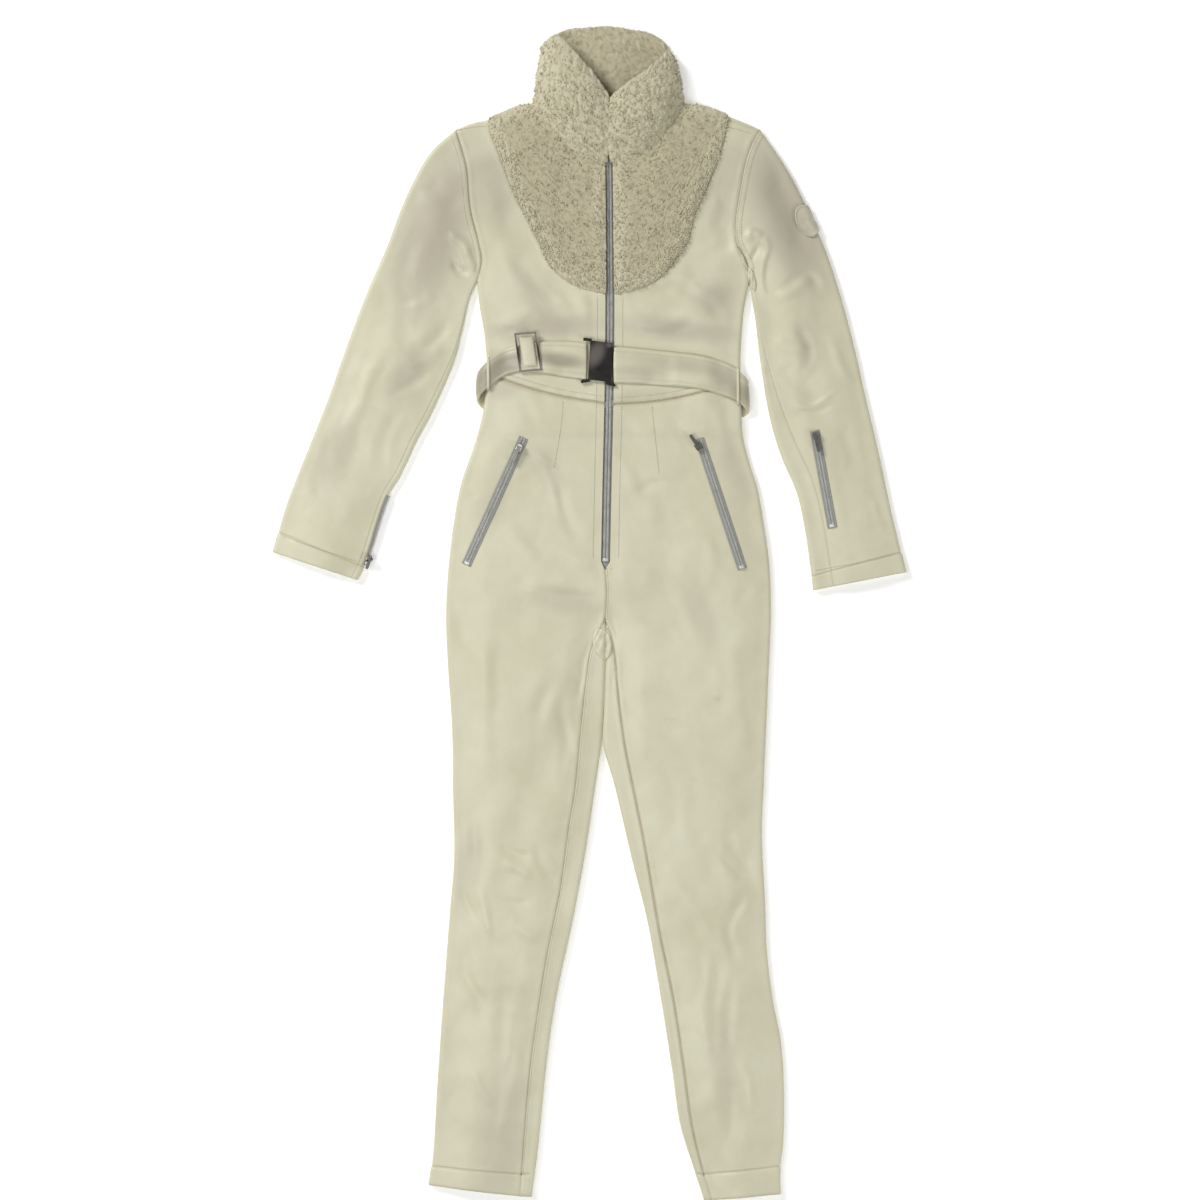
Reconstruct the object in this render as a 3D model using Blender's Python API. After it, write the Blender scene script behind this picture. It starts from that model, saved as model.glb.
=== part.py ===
"""One-piece ski suit laid on its back: softshell body, fleece collar and yoke, belt and zips.

Plan tables are in plan units: x runs right, y runs down from the collar. Left and right are as
seen from above with the collar at the top. Heights are metres above the floor.
"""
import math

import bmesh
import bpy
import numpy as np
from mathutils import Vector
from mathutils.bvhtree import BVHTree

# ---- driving dimensions, metres unless said otherwise
UNIT = 0.0013            # one plan unit
MID_X, MID_Y = 589.0, 613.5  # plan point over the origin
WALL = 0.0022            # softshell
HEM_WALL = 0.0034        # softshell turned in at a hem
HEM_PROUD = 0.0006       # how far a hem stands out
EDGE_R = 0.005           # radius of every folded side edge
CROWN = 0.0055           # rise of the top cloth towards the middle of a tube
CROWN_RUN = 0.048
PILE = 0.0060            # fleece above its backing
PILE_EDGE = 0.0035       # fleece at a seam
SEAM = 0.0002            # each edge of a panel is drawn back this far
LAY = 0.0004             # air under a piece that lies on a panel
STRAP = 0.0026
BELT_RISE = 0.0031       # what the belt's back stretch lifts the suit by
BELT_Y, BELT_HALF, BELT_RAMP = 400, 42, 14       # plan units: where it is lifted, and the slope
BELT_MID, BELT_REACH, BELT_END = 0.031, 0.205, 0.02
FOLD_RUN = 0.02          # a fold has its full height this far from a folded edge
ROLL = np.array([0, 0.29, 1.0]) * EDGE_R         # steps over a folded edge
SEAM_INSET = 0.009       # underarm seam inside the sleeve's inner edge
ZIP_HALF = 4.6           # plan units from the zip's middle to the cloth beside it

# ---- edges that the cloth folds round: (x, y)
SHOULDER_L = [(536, 106), (522, 107), (506, 113), (489, 120), (472, 124), (456, 130)]
SLEEVE_OUT_L = [(456, 130), (430, 154), (405, 200), (387, 247), (367, 293), (343, 357),
                (329, 397), (296, 480), (286, 507), (273, 552)]
SLEEVE_IN_L = [(477, 283), (470, 300), (465, 322), (456, 358), (450, 374), (431, 416),
               (417, 442), (401, 476), (388, 498), (366, 564), (358, 580)]
SIDE_L = [(477, 283), (480, 309), (484, 332), (486, 352), (487, 374), (485, 400), (481, 422),
          (472, 452), (461, 484), (453, 528), (448, 573), (446, 618), (448, 667), (452, 728),
          (453, 790), (454, 858), (450, 910), (446, 962), (442, 1015), (437, 1090),
          (433, 1155), (429, 1184)]
INNER_L = [(606, 634), (605.4, 660), (604, 700), (601.8, 741), (595, 790), (586, 850),
           (573, 920), (556, 1000), (547, 1062), (538, 1150), (532, 1196)]
INNER_R = [(606.5, 634), (605.9, 660), (604.5, 700), (602.6, 741), (614, 784), (633, 864),
           (647, 920), (661, 1000), (672, 1070), (680, 1124), (693, 1166), (704, 1200)]
SIDE_R = [(749, 284), (744, 311), (741, 345), (740, 378), (741, 405), (743, 437), (751, 468),
          (757, 486), (764, 525), (769, 560), (771, 606), (768, 687), (764, 780), (762, 836),
          (765, 899), (767, 950), (773, 1000), (781, 1042), (784, 1092), (783, 1145),
          (780, 1170), (780, 1193)]
SLEEVE_IN_R = [(749, 284), (755, 320), (760, 362), (770, 420), (781, 457), (796, 492),
               (804, 526), (810, 567), (813, 590)]
SLEEVE_OUT_R = [(760, 130), (786, 168), (804, 202), (826, 252), (842, 301), (856, 355),
                (864, 391), (878, 450), (892, 515), (906, 572)]
SHOULDER_R = [(682, 106), (704, 108), (728, 117), (744, 123), (760, 130)]
# ---- seams
ARMHOLE_L = [(456, 130), (462, 149), (467, 168), (471, 210), (479, 243), (482, 262), (477, 283)]
ARMHOLE_R = [(760, 130), (753, 142), (746, 161), (740, 190), (735, 225), (737, 246), (746, 264),
             (749, 284)]
NECK_L = [(536, 106), (543, 119), (561, 141), (579, 157), (604.4, 163)]
NECK_R = [(682, 106), (676, 119), (663, 137), (646, 157), (613.6, 163)]
BIB_SIDE_L = [(489, 120), (492, 135), (502, 160), (513, 190), (526, 215), (541, 245)]
BIB_FOOT_L = [(541, 245), (550, 264), (563, 278), (580, 287), (604.6, 293)]
BIB_SIDE_R = [(728, 117), (720, 150), (705, 190), (694, 214), (687, 241), (679, 254)]
BIB_FOOT_R = [(679, 254), (671, 265), (659, 278), (642, 287), (614.4, 294)]
WAIST_L = [(487, 372), (504, 380), (530, 389), (562, 397), (604.5, 404)]
WAIST_R = [(740.5, 376), (724, 384), (700, 393), (655, 402), (613.5, 405)]
HEM_L = [(429, 1184), (532, 1196)]
HEM_R = [(780, 1193), (704, 1200)]
ZIP_MID = [(609, 160), (609.8, 240), (609.9, 330), (609, 400), (607.2, 480), (605.6, 562)]
CENTRE_SEAM = [(605, 568), (606.6, 590), (605, 620)]
INSEAM_L = [(605, 620), (599, 632), (591, 650), (586, 682), (581, 728), (575, 790), (569, 826),
            (560, 891), (547, 955), (539, 1005), (530, 1070), (524, 1140), (520, 1195)]
INSEAM_R = [(605, 620), (611, 634), (615, 655), (619, 698), (625, 744), (632, 780), (646, 850),
            (659, 927), (674, 1000), (683, 1060), (692, 1124), (702, 1166), (711, 1199)]

# ---- broad folds of the top cloth: x0, y0, x1, y1, half width (plan units), height
FOLDS = [
    (486, 262, 545, 330, 26, 0.0016),
    (560, 300, 520, 335, 22, -0.0014),
    (738, 262, 690, 320, 26, 0.0014),
    (655, 305, 690, 338, 22, -0.0012),
    (440, 170, 425, 300, 22, 0.0016),
    (395, 290, 372, 380, 20, -0.0014),
    (768, 200, 790, 330, 20, 0.0014),
    (815, 330, 808, 420, 18, -0.0014),
    (350, 400, 330, 500, 18, 0.0010),
    (850, 430, 868, 530, 18, 0.0010),
    (530, 640, 505, 800, 26, 0.0014),
    (690, 620, 706, 800, 28, 0.0014),
    (540, 760, 500, 900, 22, -0.0012),
    (700, 830, 745, 950, 18, -0.0016),
    (735, 960, 715, 1120, 20, 0.0014),
    (500, 960, 485, 1130, 22, 0.0012),
]

# ---- rows down the trousers: y on the side, y on the inner line
TROUSER_ROWS = [(422, 428), (452, 460), (488, 494), (526, 530), (560, 562), (568, 568),
                (596, 596), (612, 612), (620, 620), (630, 632), (644, 644), (668, 668),
                (702, 702), (741, 741), (790, 790), (842, 844), (898, 900), (954, 958),
                (1012, 1016), (1072, 1078), (1126, 1132), (1165, 1173), (1170, 1179)]
FORK_FROM, FORK_TO = 7, 11   # rows over which the back panels climb to the crotch
SLEEVE_ROWS = [0.0, 0.05, 0.1, 0.16, 0.23, 0.3, 0.37, 0.44, 0.51, 0.58, 0.66, 0.74, 0.82, 0.9,
               0.95, 0.962, 1.0]
SIDE_ROWS = [0.2, 0.4, 0.6, 0.8, 1.0]   # bodice rows from the underarm to the waist
YOKE_ROWS = [163 + 130 * s for s in (0, 0.1, 0.22, 0.4, 0.6, 0.8, 1.0)]  # at the front zip
FRONT_ROWS = [293 + 111.5 * s for s in SIDE_ROWS]
UNDERARM_Y = {"l": 283, "r": 284}
WAIST_Y = {"l": 372, "r": 376}           # where the waist seam meets each side
HEM_END = {"l": HEM_L, "r": HEM_R}
INNER_END_Y = {"l": 1196, "r": 1200}
INSEAM_END_Y = {"l": 1195, "r": 1199}
WAIST_MID_Y = 404.5                      # the waist seam at the front zip
BACK_MID_X = 606.25                      # seam between the two back panels, above the crotch


def metres(points):
    """Plan units to metres, collar towards +Y."""
    p = np.asarray(points, float)
    return np.stack([(p[..., 0] - MID_X) * UNIT, (MID_Y - p[..., 1]) * UNIT], -1)


def smooth(points, step=4.0):
    """A dense soft line through plan points, in metres."""
    p = np.array(points, float)
    p = np.vstack([2 * p[0] - p[1], p, 2 * p[-1] - p[-2]])
    out = []
    for i in range(1, len(p) - 2):
        a, b, c, d = p[i - 1:i + 3]
        t1 = math.sqrt(np.linalg.norm(b - a))
        t2 = t1 + math.sqrt(np.linalg.norm(c - b))
        t3 = t2 + math.sqrt(np.linalg.norm(d - c))
        count = max(1, round(np.linalg.norm(c - b) / step))
        t = np.linspace(t1, t2, count, endpoint=False)[:, None]
        ab = (t1 - t) / t1 * a + t / t1 * b
        bc = (t2 - t) / (t2 - t1) * b + (t - t1) / (t2 - t1) * c
        cd = (t3 - t) / (t3 - t2) * c + (t - t2) / (t3 - t2) * d
        abc = (t2 - t) / t2 * ab + t / t2 * bc
        bcd = (t3 - t) / (t3 - t1) * bc + (t - t1) / (t3 - t1) * cd
        out.append((t2 - t) / (t2 - t1) * abc + (t - t1) / (t2 - t1) * bcd)
    out.append(p[-2:-1])
    return metres(np.vstack(out))


def walk(line, shares):
    """Points at shares of a line's length."""
    run = np.concatenate([[0], np.cumsum(np.linalg.norm(np.diff(line, axis=0), axis=1))])
    at = np.asarray(shares, float) * run[-1]
    return np.stack([np.interp(at, run, line[:, 0]), np.interp(at, run, line[:, 1])], -1)


def at_y(line, ys):
    """Points of a line that runs down the plan, at plan heights."""
    y = (MID_Y - np.asarray(ys, float)) * UNIT
    return np.stack([np.interp(-y, -line[:, 1], line[:, 0]), y], -1)


LINES = {name: smooth(points) for name, points in (
    ("shoulder_l", SHOULDER_L), ("out_l", SLEEVE_OUT_L), ("in_l", SLEEVE_IN_L),
    ("side_l", SIDE_L), ("inner_l", INNER_L), ("inner_r", INNER_R), ("side_r", SIDE_R),
    ("in_r", SLEEVE_IN_R), ("out_r", SLEEVE_OUT_R), ("shoulder_r", SHOULDER_R),
    ("arm_l", ARMHOLE_L), ("arm_r", ARMHOLE_R), ("neck_l", NECK_L), ("neck_r", NECK_R),
    ("bib_side_l", BIB_SIDE_L), ("bib_foot_l", BIB_FOOT_L), ("bib_side_r", BIB_SIDE_R),
    ("bib_foot_r", BIB_FOOT_R), ("waist_l", WAIST_L), ("waist_r", WAIST_R),
    ("hem_l", HEM_L), ("hem_r", HEM_R), ("zip", ZIP_MID), ("centre", CENTRE_SEAM),
    ("inseam_l", INSEAM_L), ("inseam_r", INSEAM_R))}
# each folded edge, and whether the cloth lies on the left of its direction
FOLDED = (("shoulder_l", 1), ("out_l", 1), ("in_l", -1), ("side_l", 1), ("inner_l", -1),
          ("inner_r", 1), ("side_r", -1), ("in_r", 1), ("out_r", -1), ("shoulder_r", -1))


def edge_distance(p):
    """Distance of plan points from the nearest folded edge, and the way in from it."""
    flat = p.reshape(-1, 2)
    best = np.full(len(flat), 9.0)
    inward = np.zeros_like(flat)
    for name, sign in FOLDED:
        a, b = LINES[name][:-1], LINES[name][1:]
        ab = b - a
        t = np.einsum("psk,sk->ps", flat[:, None] - a, ab) / (ab ** 2).sum(1)
        foot = a + np.clip(t, 0, 1)[..., None] * ab
        gap = np.linalg.norm(flat[:, None] - foot, axis=2)
        near = gap.argmin(1)
        row = np.arange(len(flat))
        closer = gap[row, near] < best
        normal = sign * np.stack([-ab[:, 1], ab[:, 0]], 1) / np.linalg.norm(ab, axis=1)[:, None]
        away = flat - foot[row, near] + normal[near] * 1e-4
        away /= np.linalg.norm(away, axis=1)[:, None]
        inward[closer] = away[closer]
        best[closer] = gap[row, near][closer]
    return best.reshape(p.shape[:-1]), inward.reshape(p.shape)


def soft(x):
    """0 to 1 with level ends."""
    x = np.clip(x, 0, 1)
    return x * x * (3 - 2 * x)


def lift(p):
    """What the belt's back stretch raises both layers by."""
    y = MID_Y - p[..., 1] / UNIT
    along = soft((BELT_HALF - abs(y - BELT_Y)) / BELT_RAMP)
    return BELT_RISE * along * soft((BELT_REACH - abs(p[..., 0] - BELT_MID)) / BELT_END)


def relief(p):
    """Crown and folds of the top cloth over its folded edges."""
    distance, _ = edge_distance(p)
    height = CROWN * soft((distance - EDGE_R) / CROWN_RUN)
    for x0, y0, x1, y1, width, rise in FOLDS:
        a, b = metres([(x0, y0), (x1, y1)])
        t = np.clip(((p - a) @ (b - a)) / ((b - a) @ (b - a)), 0, 1)
        gap = np.linalg.norm(p - a - t[..., None] * (b - a), axis=-1)
        height = height + rise * soft(1 - gap / (width * UNIT)) * soft(distance / FOLD_RUN - 0.2)
    return height


def skin(plan, top):
    """Outer points and outward normals of the cloth over plan points; top is 1 above, -1 below."""
    distance, inward = edge_distance(plan)
    out = np.clip((EDGE_R - distance) / EDGE_R, 0, 1)
    up = np.sqrt(1 - out ** 2)
    base = lift(plan)
    high = base + EDGE_R * (1 + up) + relief(plan)
    z = np.where(top > 0, high, base + EDGE_R * (1 - up))
    e = 1e-3
    slope = [(relief(plan + d) + lift(plan + d) - relief(plan - d) - lift(plan - d)) / (2 * e)
             for d in (np.array([e, 0]), np.array([0, e]))]
    grade = np.stack(slope, -1) * np.where(top > 0, 1.0, 0.0)[..., None]
    sides = -inward * out[..., None] - grade * up[..., None]
    normal = np.concatenate([sides, (up * np.where(top > 0, 1, -1))[..., None]], -1)
    normal /= np.linalg.norm(normal, axis=-1)[..., None]
    return np.concatenate([plan, z[..., None]], -1), normal


def patch(left, right, head, foot, across, fade=1.0):
    """Plan grid between four edges: across holds each row's shares from left to right."""
    span = np.linalg.norm(np.diff((left + right) / 2, axis=0), axis=1)
    v = np.concatenate([[0], np.cumsum(span)]) / span.sum()
    u = across[..., None]
    grid = left[:, None] * (1 - u) + right[:, None] * u
    bow_head = head - (head[0] * (1 - u[0]) + head[-1] * u[0])
    bow_foot = foot - (foot[0] * (1 - u[-1]) + foot[-1] * u[-1])
    v = v[:, None, None]
    return grid + (1 - v) ** fade * bow_head + v ** fade * bow_foot


def widths(left, right):
    return np.linalg.norm(right - left, axis=-1)


def rolled(width, count, far=False):
    """Shares across a row: close together over the folded edge, even beyond it."""
    end = width - (EDGE_R if far else 0)
    inner = np.linspace(ROLL[-1], end, count + 1)[1:]
    tail = [width - ROLL[1], width] if far else []
    return np.concatenate([ROLL, inner, tail]) / width


def material(name, colour, metal=0.0, rough=0.8):
    made = bpy.data.materials.new(name)
    made.use_nodes = True
    shader = made.node_tree.nodes["Principled BSDF"]
    shader.inputs["Base Color"].default_value = (*colour, 1)
    shader.inputs["Metallic"].default_value = metal
    shader.inputs["Roughness"].default_value = rough
    return made


def mesh_object(name, points, faces, made_of):
    """A closed body from points and faces, facing out."""
    mesh = bpy.data.meshes.new(name)
    mesh.from_pydata([tuple(p) for p in points], [], [tuple(f) for f in faces])
    work = bmesh.new()
    work.from_mesh(mesh)
    bmesh.ops.triangulate(work, faces=work.faces)
    bmesh.ops.recalc_face_normals(work, faces=work.faces)
    if work.calc_volume(signed=True) < 0:
        bmesh.ops.reverse_faces(work, faces=work.faces)
    work.to_mesh(mesh)
    work.free()
    mesh.materials.append(made_of)
    made = bpy.data.objects.new(name, mesh)
    bpy.context.scene.collection.objects.link(made)
    return made


def drawn_back(outer, gap):
    """How far each edge point moves in, so that neighbours keep a seam's gap."""
    move = np.zeros_like(outer)
    for edge, inner in (((0, slice(None)), (1, slice(None))), ((-1, slice(None)), (-2, slice(None))),
                        ((slice(None), 0), (slice(None), 1)), ((slice(None), -1), (slice(None), -2))):
        way = outer[inner] - outer[edge]
        move[edge] += gap * way / np.linalg.norm(way, axis=-1)[..., None]
    return move


def shell(name, outer, inner, made_of, gap=SEAM):
    """A closed body between two grids of the same size."""
    move = drawn_back(outer, gap) if gap else 0
    rows, cols = outer.shape[:2]
    points = np.concatenate([(outer + move).reshape(-1, 3), (inner + move).reshape(-1, 3)])
    index = np.arange(rows * cols).reshape(rows, cols)
    under = index + rows * cols
    faces = []
    for a, flip in ((index, False), (under, True)):
        quads = np.stack([a[:-1, :-1], a[1:, :-1], a[1:, 1:], a[:-1, 1:]], -1).reshape(-1, 4)
        faces.extend((quads[:, ::-1] if flip else quads).tolist())
    rim = np.concatenate([index[0], index[1:, -1], index[-1, -2::-1], index[-2:0:-1, 0]])
    for a, b in zip(rim, np.roll(rim, -1)):
        faces.append((a, b, b + rows * cols, a + rows * cols))
    return mesh_object(name, points, faces, made_of)


def cloth(name, plan, top, made_of, wall=WALL, proud=0.0):
    """A panel of one wall thickness on the suit's skin."""
    outer, normal = skin(plan, top)
    wall = np.broadcast_to(wall, plan.shape[:-1])[..., None]
    proud = np.broadcast_to(proud, plan.shape[:-1])[..., None]
    return shell(name, outer + normal * proud, outer + normal * (proud - wall), made_of)


def hem_profile(rows, columns, turned):
    """Wall and stand-off of a panel whose last rows are a turned-in hem."""
    wall = np.full((rows, columns), WALL)
    proud = np.zeros((rows, columns))
    wall[-turned:] = HEM_WALL
    proud[-turned:] = HEM_PROUD
    return wall, proud


def front_edge(side, ys):
    """Plan points of the cloth edge beside the front zip."""
    p = at_y(LINES["zip"], ys)
    p[:, 0] += side * ZIP_HALF * UNIT
    return p


# ---- sleeves and bodice

SEAM_TURN = 0.6          # share of the sleeve's length over which its seam moves on to the top
HOLE_FADE = 0.45         # share of its length over which the armhole's bow dies away


def sleeve(name, side, made_of, inset_far):
    """One panel from the underarm seam over the top, round the outer edge and back below.

    inset_far is the underarm seam's distance from the inner edge beyond SEAM_TURN of its length.
    """
    outer_line, inner_line, hole = LINES["out_" + side], LINES["in_" + side], LINES["arm_" + side]
    out = walk(outer_line, SLEEVE_ROWS)
    inn = walk(inner_line, SLEEVE_ROWS)
    width = widths(out, inn)
    rows = []
    for i, w in enumerate(width):
        seam = SEAM_INSET + (inset_far - SEAM_INSET) * soft(SLEEVE_ROWS[i] / SEAM_TURN)
        span_top = np.linspace(EDGE_R, w - seam, 5)
        span_low = np.linspace(EDGE_R, w - EDGE_R, 5)
        over = np.concatenate([span_top[:0:-1], ROLL[::-1]])
        below = np.concatenate([ROLL[1:2], span_low, [w - ROLL[1], w]])
        wrap = np.array([w - ROLL[1], w - EDGE_R, w - seam])
        rows.append(np.concatenate([over, below, wrap]) / w)
    across = np.array(rows)
    top = np.concatenate([np.ones(7), -np.ones(8), np.ones(3)])
    v = np.array(SLEEVE_ROWS)[:, None, None]
    u = across[..., None]
    bow = walk(hole, across[0]) - (out[0] * (1 - u[0]) + inn[0] * u[0])
    plan = out[:, None] * (1 - u) + inn[:, None] * u + (1 - soft(v / HOLE_FADE)) * bow
    wall, proud = hem_profile(*across.shape, 2)
    top = np.broadcast_to(top, across.shape)
    proud = np.where(top > 0, proud, 0)
    return cloth(name, plan, top, made_of, wall, proud)


def arm_points(side):
    """Armhole points shared by the sleeve and the bodice: those above, then those below."""
    hole = LINES["arm_" + side]
    w = widths(hole[0], hole[-1])
    above = np.concatenate([ROLL[:2], np.linspace(EDGE_R, w - SEAM_INSET, 5),
                            [w - EDGE_R, w - ROLL[1], w]])
    below = np.concatenate([ROLL[:2], np.linspace(EDGE_R, w - EDGE_R, 5), [w - ROLL[1], w]])
    return walk(hole, above / w), walk(hole, below / w)


def flank_points(side):
    """Points of a side's folded edge from the underarm to the waist."""
    top, low = UNDERARM_Y[side], WAIST_Y[side]
    return at_y(LINES["side_" + side], [top + (low - top) * s for s in SIDE_ROWS])


def bodice_front(name, side, made_of):
    """From the armhole and the shoulder's edge to the fleece, the front zip and the waist."""
    above, _ = arm_points(side)
    sign = -1 if side == "l" else 1
    flank = flank_points(side)
    left = np.vstack([above, flank])
    yoke = np.vstack([walk(LINES["bib_side_" + side], np.linspace(0, 1, 5)),
                      walk(LINES["bib_foot_" + side], BIB_ACROSS[1:])])
    front = front_edge(sign, FRONT_ROWS)
    right = np.vstack([yoke, front])
    across = np.array([rolled(w, 6) for w in widths(left, right)])
    shoulder = LINES["shoulder_" + side]
    head = shoulder_run(shoulder, left[0], right[0], across[0])
    foot = walk(LINES["waist_" + side], across[-1])
    foot[0], foot[-1] = left[-1], right[-1]
    plan = patch(left, right, head, foot, across, 2.0)
    return cloth(name, plan, np.ones(across.shape), made_of)


def shoulder_run(shoulder, a, b, shares):
    """Points of the shoulder's edge between two of its own points."""
    xs = a[0] + (b[0] - a[0]) * shares
    order = np.argsort(shoulder[:, 0])
    return np.stack([xs, np.interp(xs, shoulder[order, 0], shoulder[order, 1])], -1)


BIB_ACROSS = np.array([0, 0.09, 0.3, 0.53, 0.76, 1.0])


def bib(name, side, made_of):
    """Half of the fleece yoke, with its pile lower beside its seams."""
    sign = -1 if side == "l" else 1
    shoulder = LINES["shoulder_" + side]
    corner = LINES["bib_side_" + side][0]
    neck = LINES["neck_" + side]
    yoke_top = shoulder_run(shoulder, neck[0], corner, np.array([0, 0.5, 1.0]))
    left = np.vstack([yoke_top, walk(LINES["bib_side_" + side], np.linspace(0, 1, 5))[1:]])
    right = front_edge(sign, YOKE_ROWS)
    across = np.broadcast_to(BIB_ACROSS, (len(YOKE_ROWS), len(BIB_ACROSS)))
    head = walk(neck, BIB_ACROSS)
    head[-1] = right[0]
    foot = walk(LINES["bib_foot_" + side], BIB_ACROSS)
    foot[-1] = right[-1]
    plan = patch(left, right, head, foot, across)
    pile = np.full(across.shape, PILE)
    pile[-1], pile[:, 0], pile[:, -1] = PILE_EDGE, PILE_EDGE, PILE_EDGE
    return cloth(name, plan, np.ones(across.shape), made_of, pile + WALL, pile)


# shares across the back; the third and seventh are the ends of the neck seam
BACK_ACROSS = [0.13, 0.263, 0.38, 0.5, 0.62, 0.743, 0.87]
BACK_NECK = [(536, 109), (571, 118), (608, 119.5), (646, 118), (682, 109)]


def bodice_back(name, made_of):
    """The whole back, flat on the floor, from the neck and shoulders to the waist."""
    left_arm, right_arm = arm_points("l")[1], arm_points("r")[1]
    sides = []
    for side, arm in (("l", left_arm), ("r", right_arm)):
        sides.append(np.vstack([arm, flank_points(side)]))
    left, right = sides
    across = []
    for w in widths(left, right):
        share = rolled(w, 8, far=True)
        share[3:10] = BACK_ACROSS
        across.append(share)
    across = np.array(across)
    edge = np.vstack([LINES["shoulder_l"][:0:-1], metres(BACK_NECK), LINES["shoulder_r"][1:]])
    xs = left[0, 0] + (right[0, 0] - left[0, 0]) * across[0]
    head = np.stack([xs, np.interp(xs, edge[:, 0], edge[:, 1])], -1)
    foot = left[-1] * (1 - across[-1][:, None]) + right[-1] * across[-1][:, None]
    plan = patch(left, right, head, foot, across, 3.0)
    return cloth(name, plan, -np.ones(across.shape), made_of)


# ---- trousers

def trouser_front(name, side, made_of):
    """One front leg from the waist to the hem, between the side and the front zip or inseam."""
    sign = -1 if side == "l" else 1
    left = np.vstack([at_y(LINES["side_" + side], [WAIST_Y[side]] + [r[0] for r in TROUSER_ROWS]),
                      metres(HEM_END[side])[:1]])
    ys = [WAIST_MID_Y] + [r[1] for r in TROUSER_ROWS]
    right = np.vstack([front_edge(sign, ys[:6]), at_y(LINES["centre"], ys[6:9]),
                       at_y(LINES["inseam_" + side], ys[9:]),
                       at_y(LINES["inseam_" + side], [INSEAM_END_Y[side]])])
    across = np.array([rolled(w, 6) for w in widths(left, right)])
    head = walk(LINES["waist_" + side], across[0])
    head[0], head[-1] = left[0], right[0]
    foot = left[-1] + (right[-1] - left[-1]) * across[-1][:, None]
    plan = patch(left, right, head, foot, across, 3.0)
    wall, proud = hem_profile(*across.shape, 2)
    return cloth(name, plan, np.ones(across.shape), made_of, wall, proud)


# how far round its half turn the back's inner end has climbed, by row
FORK_TURN = {FORK_FROM + 2: 0.35, FORK_FROM + 3: 0.7}
FORK_STEPS = np.array([0.2, 0.4, 0.6, 0.8, 1.0])
MIDDLE_GAP = 0.011       # the back's last columns share this width beside the middle


def belly_row(side_end, centre):
    """Row of a back panel from its side to the middle, flat on the floor."""
    width = abs(centre[0] - side_end[0])
    near = np.linspace(width - MIDDLE_GAP, width, 6)
    s = np.concatenate([ROLL, np.linspace(EDGE_R, near[0], 5)[1:], near[1:]])
    plan = side_end + (centre - side_end) * (s / width)[:, None]
    return skin(plan, -np.ones(len(s)))


def fork_row(side_end, centre, share, sign):
    """Row of a back panel whose inner end has climbed part of the way up at the middle."""
    width = abs(centre[0] - side_end[0])
    turn = math.pi * share * FORK_STEPS
    flat = np.linspace(EDGE_R, width - EDGE_R, 5)[1:]
    s = np.concatenate([ROLL, flat, width - EDGE_R + EDGE_R * np.sin(turn)])
    plan = side_end + (centre - side_end) * (s / width)[:, None]
    outer, normal = skin(plan, -np.ones(len(s)))
    outer[-5:, 2] = EDGE_R * (1 - np.cos(turn))
    normal[-5:] = np.stack([sign * np.sin(turn), 0 * turn, -np.cos(turn)], -1)
    return outer, normal


def leg_row(side_end, inner, seam):
    """Row of a back panel below the fork: under the leg, round its inner edge, up to the seam."""
    width = np.linalg.norm(inner - side_end)
    strip = max(np.linalg.norm(inner - seam), 1.3 * EDGE_R)
    s = np.concatenate([ROLL, np.linspace(EDGE_R, width - EDGE_R, 5)[1:],
                        [width - ROLL[1], width, width - ROLL[1], width - EDGE_R, width - strip]])
    top = np.concatenate([-np.ones(9), np.ones(3)])
    plan = side_end + (inner - side_end) * (s / width)[:, None]
    plan[-1] = seam
    return skin(plan, top)


def waist_middle(middle):
    """The back waist's point over the middle, on the straight line between the two sides."""
    left, right = (at_y(LINES["side_" + side], [WAIST_Y[side]])[0] for side in "lr")
    share = (middle - left[0]) / (right[0] - left[0])
    return left + (right - left) * share


def trouser_back(name, side, made_of):
    """From the side seam under the leg, round the inner edge and up to the inseam."""
    sign = 1 if side == "l" else -1
    ys = [WAIST_MID_Y] + [r[1] for r in TROUSER_ROWS] + [INNER_END_Y[side]]
    left = np.vstack([at_y(LINES["side_" + side], [WAIST_Y[side]] + [r[0] for r in TROUSER_ROWS]),
                      metres(HEM_END[side])[:1]])
    middle = metres([(BACK_MID_X, 0)])[0, 0] - sign * SEAM
    rows = []
    for i, (side_end, y) in enumerate(zip(left, ys)):
        centre = waist_middle(middle) if i == 0 else np.array([middle, (MID_Y - y) * UNIT])
        if i in FORK_TURN:
            rows.append(fork_row(side_end, centre, FORK_TURN[i], sign))
        elif i < FORK_TO:
            rows.append(belly_row(side_end, centre))
        else:
            inner = at_y(LINES["inner_" + side], [y])[0]
            seam = at_y(LINES["inseam_" + side], [min(y, INSEAM_END_Y[side])])[0]
            rows.append(leg_row(side_end, inner, seam))
    outer, normal = (np.array([row[k] for row in rows]) for k in (0, 1))
    wall, proud = hem_profile(*outer.shape[:2], 2)
    proud[:, :9] = 0
    outer = outer + normal * proud[..., None]
    return shell(name, outer, outer - normal * wall[..., None], made_of)


# ---- collar

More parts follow.
